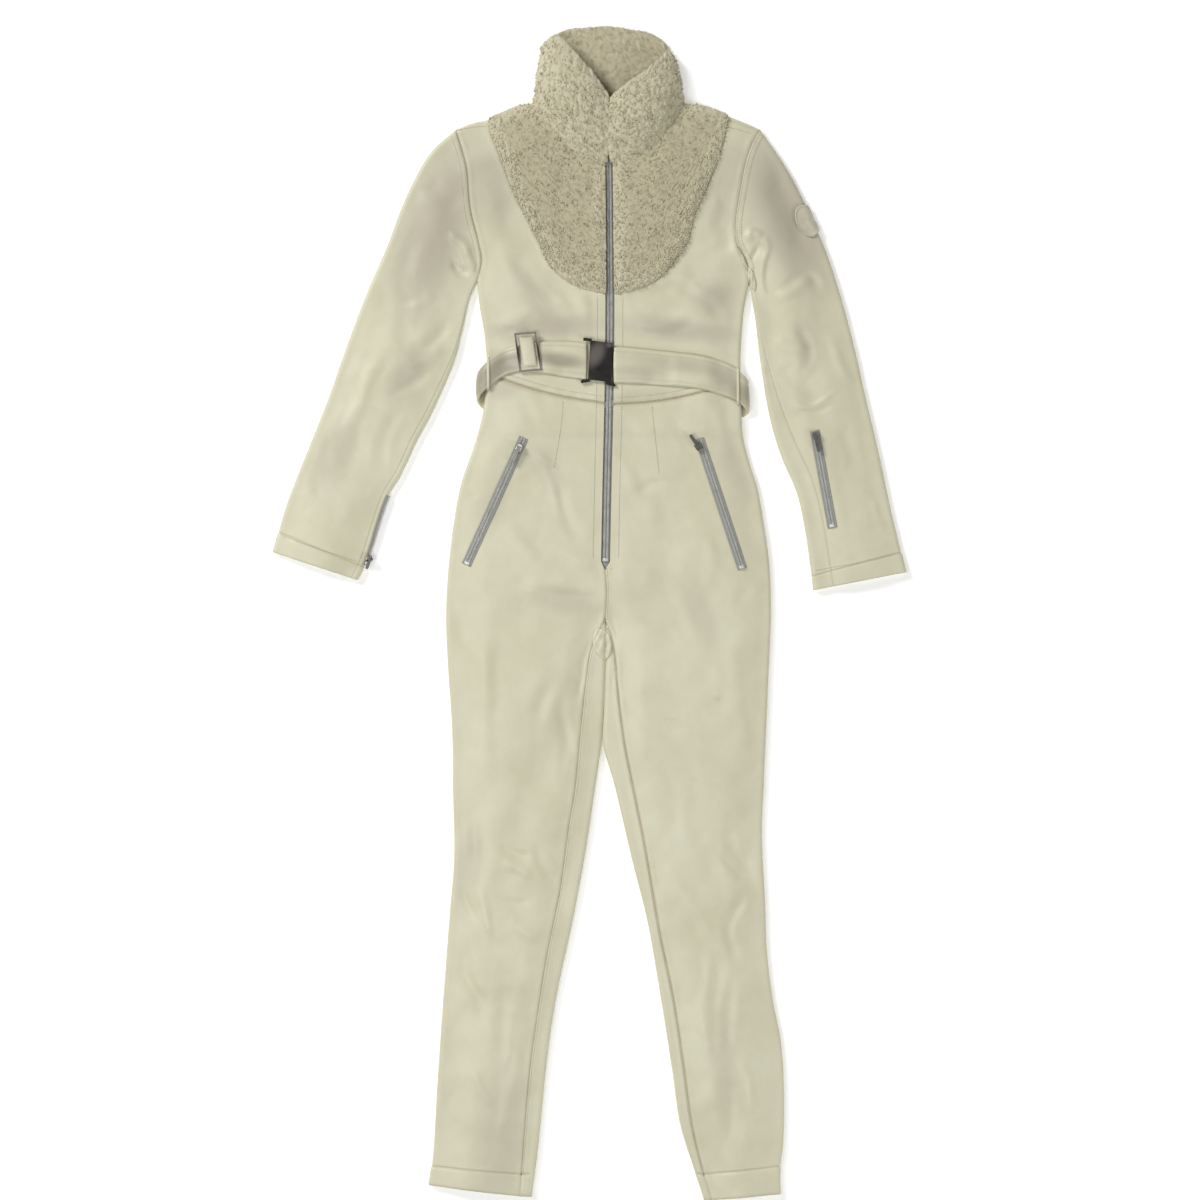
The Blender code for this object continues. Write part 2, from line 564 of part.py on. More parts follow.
# share of the neck seam, then middle and top points of the fleece's outer face: x, y, z (mm)
COLLAR_L = [
    (1.00, 607.4, 128, 30, 608.9, 99, 27),
    (0.76, 588.0, 121, 35, 594.0, 78, 33),
    (0.53, 573.0, 107, 36, 578.0, 60, 34),
    (0.30, 556.0, 94, 33, 562.0, 44, 31),
    (0.09, 542.0, 83, 23, 549.0, 41, 22),
    (0.00, 536.5, 80, 12, 541.5, 48, 12),
]
COLLAR_BACK = [
    (541, 108.4, 1.5, 540.5, 80, 2.5, 547, 42, 2.5),
    (553, 111.5, 0, 553, 76, 0, 561, 35, 0),
    (580, 116.5, 0, 582, 72, 0, 586, 31, 0),
    (608, 118.2, 0, 608, 70, 0, 608, 30, 0),
    (637, 116.5, 0, 636, 72, 0, 632, 33, 0),
    (665, 111.5, 0, 664, 77, 0, 656, 39, 0),
    (677, 108.4, 1.5, 677.5, 82, 2.5, 669, 49, 2.5),
]
COLLAR_R = [
    (0.00, 680.5, 83, 12, 676.0, 62, 12),
    (0.09, 676.0, 87, 23, 671.0, 57, 22),
    (0.30, 663.0, 99, 33, 660.0, 62, 31),
    (0.53, 647.0, 112, 36, 645.0, 75, 34),
    (0.76, 629.0, 124, 35, 627.0, 87, 33),
    (1.00, 609.4, 130, 30, 610.9, 99, 27),
]
# share of the collar's height, and its wall there
COLLAR_ROWS = [(0.0, 0.0048), (0.22, 0.0072), (0.44, 0.0085), (0.64, 0.0085), (0.82, 0.0085),
               (1.0, 0.0078)]
COLLAR_PART = 0.0018     # how far each front foot of the collar stands off the middle
COLLAR_SEAM = 0.0003
COLLAR_FLAT = slice(7, 12)  # stations that lie flat on the floor


def collar(name, made_of):
    """A standing fleece collar pressed flat: the two fronts over the back, open at the top."""
    base, mid, top = [], [], []
    for side, table in (("l", COLLAR_L), ("b", COLLAR_BACK), ("r", COLLAR_R)):
        for row in table:
            if side == "b":
                base.append((*metres(row[:2]), row[2] / 1000))
                row = row[2:]
            else:
                foot, normal = skin(walk(LINES["neck_" + side], [row[0]]), np.ones(1))
                base.append(foot[0] + normal[0] * PILE_EDGE)
            mid.append((*metres(row[1:3]), row[3] / 1000))
            top.append((*metres(row[4:6]), row[6] / 1000))
    base, mid, top = np.array(base), np.array(mid), np.array(top)
    base[0, 0] += COLLAR_PART
    base[-1, 0] -= COLLAR_PART
    v = np.array(COLLAR_ROWS)[:, :1, None]
    wall = np.array(COLLAR_ROWS)[:, 1:, None]
    outer = base * (1 - v) * (1 - 2 * v) + 4 * mid * v * (1 - v) + top * v * (2 * v - 1)
    outer[..., 2] = np.maximum(outer[..., 2], 0)
    across, along = np.gradient(outer, axis=1), np.gradient(outer, axis=0)
    normal = np.cross(along, across)
    normal /= np.linalg.norm(normal, axis=-1)[..., None]
    normal[:, COLLAR_FLAT] = (0, 0, -1)
    inner = outer - normal * wall
    return shell(name, outer, inner, made_of, COLLAR_SEAM)


# ---- pieces that lie on the cloth

def surface_of(*objects):
    """Height of the topmost face of some panels over plan points."""
    points, faces = [], []
    for obj in objects:
        start = len(points)
        points += [obj.matrix_world @ v.co for v in obj.data.vertices]
        faces += [[start + i for i in f.vertices] for f in obj.data.polygons]
    tree = BVHTree.FromPolygons(points, faces)

    def height(plan):
        flat = plan.reshape(-1, 2)
        hits = [tree.ray_cast(Vector((x, y, 0.2)), Vector((0, 0, -1)))[0] for x, y in flat]
        return np.array([h.z if h else np.nan for h in hits]).reshape(plan.shape[:-1])

    return height


# across a zip: offset in plan units, then height of its face above the tape's underside (mm)
COIL = [(-5.0, 0.7), (-3.6, 0.8), (-2.6, 2.0), (-0.9, 2.2), (0.0, 1.5), (0.9, 2.2), (2.6, 2.0),
        (3.6, 0.8), (5.0, 0.7)]


ZIP_STEP = 14.0          # plan units between rows of a zip
STOP_LONG, STOP_HIGH = 5.0, 0.0027   # the block at a zip's lower end: plan units, metres
STOP_COLUMNS = slice(2, 7)


def zip_on(name, ends, height, made_of):
    """A zip laid on a panel between two plan points, with a stop block at its lower end."""
    a, b = (np.array(p, float) for p in ends)
    length = np.linalg.norm(b - a)
    way = (b - a) / length
    cross = np.array([-way[1], way[0]])
    count = max(3, round(length / ZIP_STEP))
    along = np.concatenate([np.linspace(0, length - STOP_LONG, count),
                            [length - STOP_LONG + 0.4, length]])
    offset = np.array([c[0] for c in COIL])
    rise = np.tile([c[1] / 1000 for c in COIL], (len(along), 1))
    rise[-2:, STOP_COLUMNS] = STOP_HIGH
    plan = metres(a + along[:, None, None] * way + offset[None, :, None] * cross)
    bed = height(plan) + LAY
    bed = np.maximum(bed, (bed[:, :1] + bed[:, -1:]) / 2)
    outer = np.concatenate([plan, (bed + rise)[..., None]], -1)
    inner = np.concatenate([plan, bed[..., None]], -1)
    return shell(name, outer, inner, made_of, 0)


# across the front zip: offset in plan units, height above its tape (mm)
FRONT_COIL = [(-11.0, 0.0), (-3.7, 0.0), (-3.2, 1.9), (-1.0, 2.3), (0.0, 1.6), (1.0, 2.3), (3.2, 1.9),
              (3.7, 0.0), (11.0, 0.0)]
FRONT_STOP = (558, 562)      # upper and lower end of its bottom stop
FRONT_STOP_HIGH = 0.0032
TAPE = 0.0008
NECK_CLEAR = 4               # plan units from the neck seam to the coil's first row


def front_zip(name, made_of):
    """Tape under the cloth edges with its coil between them, from the neck to the bottom stop."""
    offsets = np.array([c[0] for c in FRONT_COIL])
    rise = np.array([c[1] for c in FRONT_COIL]) / 1000
    ys = np.array([*YOKE_ROWS, *FRONT_ROWS, *[r[1] for r in TROUSER_ROWS[:4]], *FRONT_STOP])
    ys[0] += NECK_CLEAR
    middle = at_y(LINES["zip"], ys)
    plan = middle[:, None] + np.stack([offsets * UNIT, 0 * offsets], -1)[None]
    plan = np.broadcast_to(plan, (len(ys), len(offsets), 2)).copy()
    outer, _ = skin(plan, np.ones(plan.shape[:-1]))
    level = outer[..., 2] - WALL - 2 * LAY
    profile = np.tile(rise, (len(ys), 1))
    profile[-2:, STOP_COLUMNS] = FRONT_STOP_HIGH
    face = np.concatenate([plan, (level + profile)[..., None]], -1)
    back = np.concatenate([plan, (level - TAPE)[..., None]], -1)
    return shell(name, face, back, made_of, 0)


def frame_at(centre, way, height):
    """Right-handed axes on the cloth: along a plan direction, across it, and out."""
    along = metres(np.array(centre) + np.array(way)) - metres(centre)
    along = along / np.linalg.norm(along)
    across = np.array([-along[1], along[0]])
    middle = metres(centre)
    ring = middle + np.array([[0, 0], *(along * 0.006, -along * 0.006, across * 0.004,
                                        -across * 0.004)])
    z = height(ring)
    rise = (z[1] - z[2]) / 0.012
    x = Vector((along[0], along[1], rise)).normalized()
    y = Vector((across[0], across[1], (z[3] - z[4]) / 0.008)).normalized()
    out = x.cross(y).normalized()
    return Vector((middle[0], middle[1], np.nanmax(z))), x, out.cross(x).normalized(), out


def prism(name, outline, low, high, origin, axes, made_of, chamfer=0.0):
    """A plate: its outline in the first two axes, from low to high along the third."""
    ring = np.array(outline, float)
    middle = ring.mean(0)
    layers = [(ring, low), (ring, high - chamfer)]
    if chamfer:
        size = np.abs(ring - middle).max(0)
        layers.append((middle + (ring - middle) * (1 - chamfer / size), high))
    points = []
    for loop, level in layers:
        for x, y in loop:
            points.append(origin + axes[0] * x + axes[1] * y + axes[2] * level)
    n = len(ring)
    faces = [list(range(n))[::-1], list(range(n * (len(layers) - 1), n * len(layers)))]
    for k in range(len(layers) - 1):
        for i in range(n):
            j = (i + 1) % n
            faces.append([k * n + i, k * n + j, (k + 1) * n + j, (k + 1) * n + i])
    return mesh_object(name, points, faces, made_of)


def joined(name, parts):
    """One body from several that overlap."""
    first = parts[0]
    for other in parts[1:]:
        step = first.modifiers.new("join", "BOOLEAN")
        step.operation = "UNION"
        step.solver = "EXACT"
        step.object = other
        bpy.context.view_layer.objects.active = first
        bpy.ops.object.modifier_apply(modifier=step.name)
        bpy.data.objects.remove(other)
    first.name = name
    first.data.name = name
    return first


def rounded(half_x, half_y, cut):
    """A rectangle with cut corners."""
    return [(half_x, cut - half_y), (half_x, half_y - cut), (half_x - cut, half_y),
            (cut - half_x, half_y), (-half_x, half_y - cut), (-half_x, cut - half_y),
            (cut - half_x, -half_y), (half_x - cut, -half_y)]


SLIDER_L, SLIDER_W, SLIDER_H = 0.0105, 0.0088, 0.0024
COIL_TOP = 0.0027
LUG = 0.0011
TAB_W, TAB_T = 0.0046, 0.0011
HINGE_UP = 0.0017        # hinge axis above the slider's face


def slider_and_tab(tag, place, tab_length, metal):
    """A slider over the coil, and a tab on its hinge that lies along the zip."""
    origin, x, y, out = place
    origin = origin + out * (LAY + COIL_TOP)
    axes = (x, y, out)
    body = prism("body", rounded(SLIDER_L / 2, SLIDER_W / 2, 0.002), 0.0, SLIDER_H, origin, axes,
                 metal, 0.0006)
    parts = [body]
    for side in (-1, 1):
        seat = origin + y * side * (TAB_W / 2 + 0.0004 + LUG / 2)
        parts.append(prism("lug", rounded(0.0019, LUG / 2, 0.0003), SLIDER_H - 0.0008,
                           SLIDER_H + HINGE_UP + 0.0011, seat, axes, metal))
    slider = joined("slider_" + tag, parts)
    hinge = origin + out * (SLIDER_H + HINGE_UP)
    half = [(-0.0009, TAB_W / 2 - 0.0002), (0.0025, TAB_W / 2), (tab_length - 0.003, TAB_W / 2),
            (tab_length - 0.0008, TAB_W / 2 * 0.8), (tab_length, TAB_W / 4)]
    outline = [(u, -w) for u, w in half] + half[::-1]
    tab = prism("tab_" + tag, outline, -TAB_T / 2, TAB_T / 2, hinge, axes, metal)
    for vertex in tab.data.vertices:
        vertex.co -= hinge
    tab.location = hinge
    return slider, tab


# belt stations: x, upper y, lower y, then height of the outer face in mm (0 is the floor);
# None lies on the front of the suit
BELT = [
    (586, 344, 380, None), (574, 342.5, 378.5, None), (562, 342, 377, None), (550, 342, 375, None),
    (539, 342.5, 373.5, None), (528, 344, 372.5, None), (516, 347, 373, None), (504, 351, 377, None),
    (494, 357, 383.5, 18.6), (485, 364, 391, 17.4), (479.5, 370, 397, 13.4), (477.5, 375, 402, 8.2),
    (480, 379, 407, 3.0), (486, 381, 411, 0.4), (496, 382.5, 414, 0), (545, 384, 416, 0),
    (608, 385, 417, 0), (680, 386, 418, 0), (730, 386, 418, 0), (741, 385.5, 418, 0.4),
    (746.5, 384, 416, 3.0), (748.5, 381, 413, 8.2), (746.5, 378, 410, 13.4), (741, 373.5, 405, 17.4),
    (732, 367.5, 399.5, 18.8), (720, 362, 395, None), (706, 358, 391, None), (692, 355.5, 388.5, None),
    (676, 353.5, 387, None), (658, 351.5, 385.5, None), (642, 350, 384.5, None),
    (628, 348.5, 384, None), (614.5, 347.5, 384, None),
]


def belt_strap(name, height, made_of):
    """One strap from the buckle round the left side, under the back and up on the right."""
    rows = []
    for x, upper, lower, level in BELT:
        plan = metres([(x, upper + (lower - upper) * s) for s in (0, 0.15, 0.5, 0.85, 1)])
        if level is None:
            z = height(plan)
            z = np.maximum(z, z[2] - 0.0004) + 3 * LAY + STRAP
            z = z - np.array([0.0007, 0, 0, 0, 0.0007])
        else:
            z = np.full(5, level / 1000)
        rows.append(np.concatenate([plan, z[:, None]], -1))
    outer = np.array(rows)
    along = np.gradient(outer, axis=0)
    across = np.gradient(outer, axis=1)
    normal = np.cross(along, across)
    normal /= np.linalg.norm(normal, axis=-1)[..., None]
    wall = STRAP * np.array([0.7, 1, 1, 1, 0.7])[:, None]
    return shell(name, outer, outer - normal * wall, made_of, 0)


def slab(name, corners, level, thick, made_of, bulge=0.0, cells=(4, 4), rim=0.0005):
    """A soft-cornered plate over four plan corners (top left, top right, low right, low left)."""
    tl, tr, br, bl = (np.array(c, float) for c in corners)
    u = np.linspace(0, 1, cells[0] + 1)[None, :, None]
    v = np.linspace(0, 1, cells[1] + 1)[:, None, None]
    plan = metres((tl * (1 - u) + tr * u) * (1 - v) + (bl * (1 - u) + br * u) * v)
    arch = bulge * 4 * (u * (1 - u))[..., 0] * np.ones_like(v[..., 0])
    edge = np.ones(arch.shape)
    edge[0], edge[-1], edge[:, 0], edge[:, -1] = 0, 0, 0, 0
    face = level + thick + arch - rim * (1 - edge)
    outer = np.concatenate([plan, face[..., None]], -1)
    inner = np.concatenate([plan, np.full(arch.shape, level)[..., None]], -1)
    return shell(name, outer, inner, made_of, 0)


# the buckle's plate and its three wings: plan corners from the top left, clockwise
BUCKLE_PLATE = ((590.3, 341.3), (612.6, 344), (610.6, 383), (588, 380.3))
BUCKLE_WINGS = [((583.5, 338.6), (592, 339.6), (591.6, 342.4), (583.2, 341.6)),
                ((580.6, 381.2), (589.5, 379.6), (590, 382.6), (581, 384)),
                ((606, 382), (615.4, 385), (615.1, 387.6), (605.6, 384.8))]
BUCKLE_THICK, BUCKLE_BULGE, WING_THICK = 0.0046, 0.0012, 0.0032
BUCKLE_SEAT = [(590, 345), (600, 345), (611, 347), (590, 380), (600, 380), (610, 381), (600, 362)]


def buckle(name, height, metal):
    """A dark plate over the strap's two ends, with a short wing at three of its corners."""
    level = float(np.nanmax(height(metres(BUCKLE_SEAT)))) + LAY
    parts = [slab("plate", BUCKLE_PLATE, level + 0.0002, BUCKLE_THICK, metal, BUCKLE_BULGE, (6, 4))]
    for corners in BUCKLE_WINGS:
        parts.append(slab("wing", corners, level + LAY, WING_THICK, metal, 0, (1, 1), 0.0))
    return joined(name, parts)


KEEPER_CORNERS = [(515.5, 335.2), (535.5, 333.6), (541.2, 370.4), (520.6, 372.0)]
KEEPER_HALF, KEEPER_THICK = 0.95, 0.0022     # half width of its wire in plan units, its height
KEEPER_SEAT = [(516, 352), (521, 366), (535, 350), (540, 366), (528, 352), (530, 366)]
FOLD_CORNERS = ((519.5, 338.5), (533, 337.5), (537.4, 367), (524, 368.4))
FOLD_THICK, FOLD_BULGE = 0.0026, 0.0012


def keeper(name, strap_top, metal):
    """A bright rectangular ring round the strap's turned end."""
    bars = []
    for i in range(4):
        a, b = np.array(KEEPER_CORNERS[i]), np.array(KEEPER_CORNERS[(i + 1) % 4])
        way = (b - a) / np.linalg.norm(b - a) * KEEPER_HALF
        side = np.array([-way[1], way[0]])
        a, b = a - way, b + way
        bars.append(slab("bar", (a + side, b + side, b - side, a - side), strap_top + LAY,
                         KEEPER_THICK, metal, 0, (1, 1), 0.0))
    return joined(name, bars)


CARRIER_WIDE, CARRIER_THICK = 2.6, 0.0012


def carrier(name, x, on_strap, on_cloth, made_of):
    """A narrow loop of cloth that stands over the strap beside the side seam."""
    ys = np.linspace(340, 420, 161)
    z = on_strap(metres(np.stack([np.full(len(ys), x), ys], -1)))
    on = ys[(z > 0.01)]
    top, low = on[0], on[-1]
    outer = []
    for y, below in ((top - 3.0, on_cloth), (top - 1.2, on_strap), (top + 3, on_strap),
                     ((top + low) / 2, on_strap), (low - 3, on_strap), (low + 1.2, on_strap),
                     (low + 3.0, on_cloth)):
        plan = metres([(x - CARRIER_WIDE / 2, y), (x + CARRIER_WIDE / 2, y)])
        inside = plan if below is on_cloth else metres([(x, min(max(y, top + 0.5), low - 0.5))])
        level = float(below(inside).max()) + 2 * LAY + CARRIER_THICK
        outer.append(np.concatenate([plan, np.full((2, 1), level)], -1))
    outer = np.array(outer)
    return shell(name, outer, outer - [0, 0, CARRIER_THICK], made_of, 0)


def round_edge(line, run, around):
    """Where a point lies that is so far along a sleeve's edge and so far round it, and its normal.

    Along and around are lengths; around is 0 at the edge's middle height and grows upwards.
    The sleeve must lie to the right of the line's direction.
    """
    length = np.linalg.norm(np.diff(line, axis=0), axis=1).sum()
    p, q = walk(line, [run / length, run / length + 0.01])
    way = (q - p) / np.linalg.norm(q - p)
    inward = np.array([way[1], -way[0]])
    arc = EDGE_R * math.pi / 2
    angle = min(around, arc) / EDGE_R
    inset = EDGE_R * (1 - math.cos(angle)) + max(around - arc, 0)
    plan = p + inward * inset
    if around < arc:
        normal = np.array([*(-inward * math.cos(angle)), math.sin(angle)])
        return np.array([*plan, EDGE_R * (1 + math.sin(angle))]), normal
    point, normal = skin(plan[None], np.ones(1))
    return point[0], normal[0]


def cling(obj):
    """Moves points onto an object's faces."""
    tree = BVHTree.FromPolygons([v.co for v in obj.data.vertices],
                                [tuple(f.vertices) for f in obj.data.polygons])
    return lambda point: np.array(tree.find_nearest(Vector(point))[0])


def run_to(line, x, y):
    """Length along a line to its point nearest a plan point."""
    run = np.concatenate([[0], np.cumsum(np.linalg.norm(np.diff(line, axis=0), axis=1))])
    return run[np.linalg.norm(line - metres((x, y)), axis=1).argmin()]


BADGE_AT = (812, 219)
BADGE_LONG, BADGE_ROUND, BADGE_FROM = 0.0222, 0.0138, -0.0030
BADGE_RINGS = [(0.0, 0.0014), (0.45, 0.0014), (0.84, 0.0014), (0.9, 0.0020), (1.0, 0.0019)]


def badge(name, sleeve_object, made_of):
    """An oval raised patch that laps round the outer edge of the sleeve, with a thicker rim."""
    line = LINES["out_r"]
    middle = run_to(line, *BADGE_AT)
    onto = cling(sleeve_object)
    angles = np.linspace(0, 2 * math.pi, 20, endpoint=False)
    spots = [(0.0, 0.0, BADGE_RINGS[0][1])]
    for share, thick in BADGE_RINGS[1:]:
        for t in angles:
            spots.append((share * math.cos(t), share * math.sin(t), thick))
    outer, inner = [], []
    for along, around, thick in spots:
        point, normal = round_edge(line, middle + along * BADGE_LONG,
                                   BADGE_FROM + BADGE_ROUND * (1 + around))
        base = onto(point) + normal * 3 * LAY
        outer.append(base + normal * thick)
        inner.append(base)
    n, count = len(angles), len(spots)
    faces = []
    for layer in (0, count):
        for i in range(n):
            j = (i + 1) % n
            faces.append((layer, layer + 1 + i, layer + 1 + j))
            for k in range(len(BADGE_RINGS) - 2):
                a, b = layer + 1 + k * n, layer + 1 + (k + 1) * n
                faces.append((a + i, b + i, b + j, a + j))
    rim = 1 + (len(BADGE_RINGS) - 2) * n
    for i in range(n):
        j = (i + 1) % n
        faces.append((rim + i, rim + j, count + rim + j, count + rim + i))
    return mesh_object(name, outer + inner, faces, made_of)


EDGE_ZIP = ((389, 496), (366, 565))     # ends of the left cuff's zip
EDGE_ZIP_ROUND = 0.0042                 # its middle, round the sleeve's edge from mid height
EDGE_ZIP_ROWS = 7


def edge_zip(name, sleeve_object, made_of):
    """The left cuff's zip, on the round inner edge of the sleeve."""
    line = LINES["in_l"]
    start, end = (run_to(line, *p) for p in EDGE_ZIP)
    onto = cling(sleeve_object)
    stop = STOP_LONG * UNIT
    runs = np.concatenate([np.linspace(start, end - stop, EDGE_ZIP_ROWS), [end - stop + 0.0005, end]])
    outer, inner = [], []
    for i, run in enumerate(runs):
        faces, backs = [], []
        for offset, rise in COIL:
            if i >= EDGE_ZIP_ROWS and abs(offset) < 3:
                rise = STOP_HIGH * 1000
            point, normal = round_edge(line, run, EDGE_ZIP_ROUND + offset * UNIT)
            base = onto(point) + normal * 2 * LAY
            backs.append(base)
            faces.append(base + normal * rise / 1000)
        outer.append(faces)
        inner.append(backs)
    return shell(name, np.array(outer), np.array(inner), made_of, 0)


def edge_frame(x, y):
    """Origin and axes on the left sleeve's inner edge: down the edge, across, and out."""
    line = LINES["in_l"]
    run = run_to(line, x, y)
    point, out = round_edge(line, run, EDGE_ZIP_ROUND)
    further, _ = round_edge(line, run + 0.006, EDGE_ZIP_ROUND)
    out = Vector(out)
    along = Vector(further - point)
    along = (along - out * along.dot(out)).normalized()
    return Vector(point) + out * LAY, along, out.cross(along).normalized(), out


def main():
    for obj in list(bpy.data.objects):
        bpy.data.objects.remove(obj)
    softshell = material("softshell", (0.72, 0.68, 0.52))
    fleece = material("fleece", (0.76, 0.71, 0.55), rough=1.0)
    coil = material("silver_coil", (0.5, 0.5, 0.5), 0.8, 0.35)
    bright = material("bright_metal", (0.7, 0.69, 0.66), 1.0, 0.2)
    mirror = material("dark_mirror", (0.12, 0.11, 0.11), 1.0, 0.12)
    rubber = material("badge_face", (0.74, 0.71, 0.58), rough=0.5)

    sleeve_left = sleeve("sleeve_left", "l", softshell, 0.008)
    sleeve_right = sleeve("sleeve_right", "r", softshell, 0.027)
    front_left = bodice_front("bodice_front_left", "l", softshell)
    front_right = bodice_front("bodice_front_right", "r", softshell)
    bodice_back("bodice_back", softshell)
    bib("bib_left", "l", fleece)
    bib("bib_right", "r", fleece)
    collar("collar", fleece)
    leg_left = trouser_front("trouser_front_left", "l", softshell)
    leg_right = trouser_front("trouser_front_right", "r", softshell)
    trouser_back("trouser_back_left", "l", softshell)
    trouser_back("trouser_back_right", "r", softshell)

    front_zip("front_zip", coil)
    on_left, on_right = surface_of(leg_left), surface_of(leg_right)
    zip_on("pocket_zip_left", ((524, 438), (466.5, 565)), on_left, coil)
    zip_on("pocket_zip_right", ((699, 439), (742, 569)), on_right, coil)
    on_sleeve_right = surface_of(sleeve_right)
    zip_on("cuff_zip_right", ((814, 431), (832, 528)), on_sleeve_right, coil)
    edge_zip("cuff_zip_left", sleeve_left, coil)
    slider_and_tab("pocket_left", frame_at((519.5, 448), (-7.5, 16.5), on_left), 0.022, bright)
    slider_and_tab("pocket_right", frame_at((698, 447), (-7, -10), on_right), 0.019, bright)
    slider_and_tab("cuff_right", frame_at((815, 436), (6, 30), on_sleeve_right), 0.022, bright)
    slider_and_tab("cuff_left", edge_frame(368, 558), 0.014, bright)

    waist = surface_of(front_left, front_right, leg_left, leg_right)

    def over_zip(plan):
        """Cloth height, level across the slot for the front zip."""
        z = waist(plan)
        flat = plan.reshape(-1, 2)
        sides = [waist(flat + [dx * UNIT, 0]).reshape(z.shape) for dx in (-9, 9)]
        return np.where(np.isnan(z), np.fmax(sides[0], sides[1]), z)

    strap = belt_strap("belt_strap", over_zip, softshell)
    buckle("buckle", over_zip, mirror)
    on_strap = surface_of(strap)
    seat = float(np.nanmax(on_strap(metres(KEEPER_SEAT))))
    keeper("keeper", seat, bright)
    slab("belt_fold", FOLD_CORNERS, seat + LAY, FOLD_THICK, softshell, FOLD_BULGE, (4, 4))
    badge("badge", sleeve_right, rubber)
    for side, x in (("left", 488.5), ("right", 737.5)):
        carrier("carrier_" + side, x, on_strap, waist, softshell)


if __name__ == "__main__":
    main()
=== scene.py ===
"""The one-piece ski suit as it lies on a pale floor: panels, fleece, zips, belt and trims.

Plan tables are in plan units: x runs right, y runs down from the collar. Left and right are as
seen from above with the collar at the top. Everything else is in metres, with the floor at 0.
"""
import logging
import math
from collections.abc import Callable, Sequence
from dataclasses import dataclass, field
from enum import Enum

import bpy
import numpy as np
from numpy.typing import NDArray
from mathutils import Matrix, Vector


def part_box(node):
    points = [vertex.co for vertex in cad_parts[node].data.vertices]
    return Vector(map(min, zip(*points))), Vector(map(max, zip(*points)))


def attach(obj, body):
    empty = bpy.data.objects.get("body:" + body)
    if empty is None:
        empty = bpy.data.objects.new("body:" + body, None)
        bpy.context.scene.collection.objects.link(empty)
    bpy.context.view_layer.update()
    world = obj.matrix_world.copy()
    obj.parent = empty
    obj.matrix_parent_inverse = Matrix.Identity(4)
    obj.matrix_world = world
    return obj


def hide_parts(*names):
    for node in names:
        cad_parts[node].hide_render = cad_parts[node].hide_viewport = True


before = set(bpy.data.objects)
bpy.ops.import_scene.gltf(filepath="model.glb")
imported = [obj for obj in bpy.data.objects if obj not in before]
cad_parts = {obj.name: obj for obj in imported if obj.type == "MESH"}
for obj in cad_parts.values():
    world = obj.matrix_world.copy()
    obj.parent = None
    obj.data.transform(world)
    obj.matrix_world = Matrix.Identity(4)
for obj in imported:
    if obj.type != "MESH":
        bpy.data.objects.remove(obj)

Array = NDArray[np.float64]
log = logging.getLogger("ski_suit")
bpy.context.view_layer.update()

# ---- driving dimensions, in metres unless stated
UNIT = 0.0013                       # one plan unit
MID_X, MID_Y = 589.0, 613.5         # the frame's origin on the plan
MM = 0.001
WALL = 0.0021                       # the cloth's thickness
EDGE_R = 0.005                      # radius of a folded edge
CROWN, CROWN_RUN = 0.0055, 0.048    # rise of the top cloth, and the way in from the edge it takes
PILE, PILE_EDGE = 0.0052, 0.0026    # the fleece's height, and that at its borders
SEAM = 0.0002                       # half the gap between neighbouring panels
LAY = 0.0004                        # gap between layers that lie on each other
STRAP = 0.0026                      # the belt's thickness
BELT_BACK_X, BELT_BACK_Y = 0.031, 400           # middle of its back stretch: metres, plan units
BELT_RISE = 0.0031                  # what the belt's back stretch raises the suit by
SEAM_REACH = 0.014                  # how far a seam shapes the cloth beside it
SEAM_INSET = 0.009                  # the underarm seam's distance from the sleeve's inner edge
ZIP_HALF = 4.6                      # half the front zip's gap, in plan units
SPACING = 0.0027                    # spacing of rows
YOKE_Y, FRONT_Y, CROTCH_Y = (163, 293), (293.0, 404.5), 562     # the front zip's stretches
FRONT_HEM_Y = {"l": 1195.0, "r": 1199.0}                        # the inseam's end at the hem
BACK_HEM_Y = {"l": 1196.0, "r": 1200.0}                         # the inner edge's end there

# ---- edges that the cloth folds round
SHOULDER_L = [(536, 106), (522, 107), (506, 113), (489, 120), (472, 124), (456, 130)]
SLEEVE_OUT_L = [(456, 130), (430, 154), (405, 200), (387, 247), (367, 293), (343, 357),
                (329, 397), (296, 480), (286, 507), (273, 552)]
SLEEVE_IN_L = [(477, 283), (470, 300), (465, 322), (456, 358), (450, 374), (431, 416),
               (417, 442), (401, 476), (388, 498), (366, 564), (358, 580)]
SIDE_L = [(477, 283), (480, 309), (484, 332), (486, 352), (487, 374), (485, 400), (481, 422),
          (472, 452), (461, 484), (453, 528), (448, 573), (446, 618), (448, 667), (452, 728),
          (453, 790), (454, 858), (450, 910), (446, 962), (442, 1015), (437, 1090),
          (433, 1155), (429, 1184)]
INNER_L = [(606, 634), (605.4, 660), (604, 700), (601.8, 741), (595, 790), (586, 850),
           (573, 920), (556, 1000), (547, 1062), (538, 1150), (532, 1196)]
INNER_R = [(606.5, 634), (605.9, 660), (604.5, 700), (602.6, 741), (614, 784), (633, 864),
           (647, 920), (661, 1000), (672, 1070), (680, 1124), (693, 1166), (704, 1200)]
SIDE_R = [(749, 284), (744, 311), (741, 345), (740, 378), (741, 405), (743, 437), (751, 468),
          (757, 486), (764, 525), (769, 560), (771, 606), (768, 687), (764, 780), (762, 836),
          (765, 899), (767, 950), (773, 1000), (781, 1042), (784, 1092), (783, 1145),
          (780, 1170), (780, 1193)]
SLEEVE_IN_R = [(749, 284), (755, 320), (760, 362), (770, 420), (781, 457), (796, 492),
               (804, 526), (810, 567), (813, 590)]
SLEEVE_OUT_R = [(760, 130), (786, 168), (804, 202), (826, 252), (842, 301), (856, 355),
                (864, 391), (878, 450), (892, 515), (906, 572)]
SHOULDER_R = [(682, 106), (704, 108), (728, 117), (744, 123), (760, 130)]
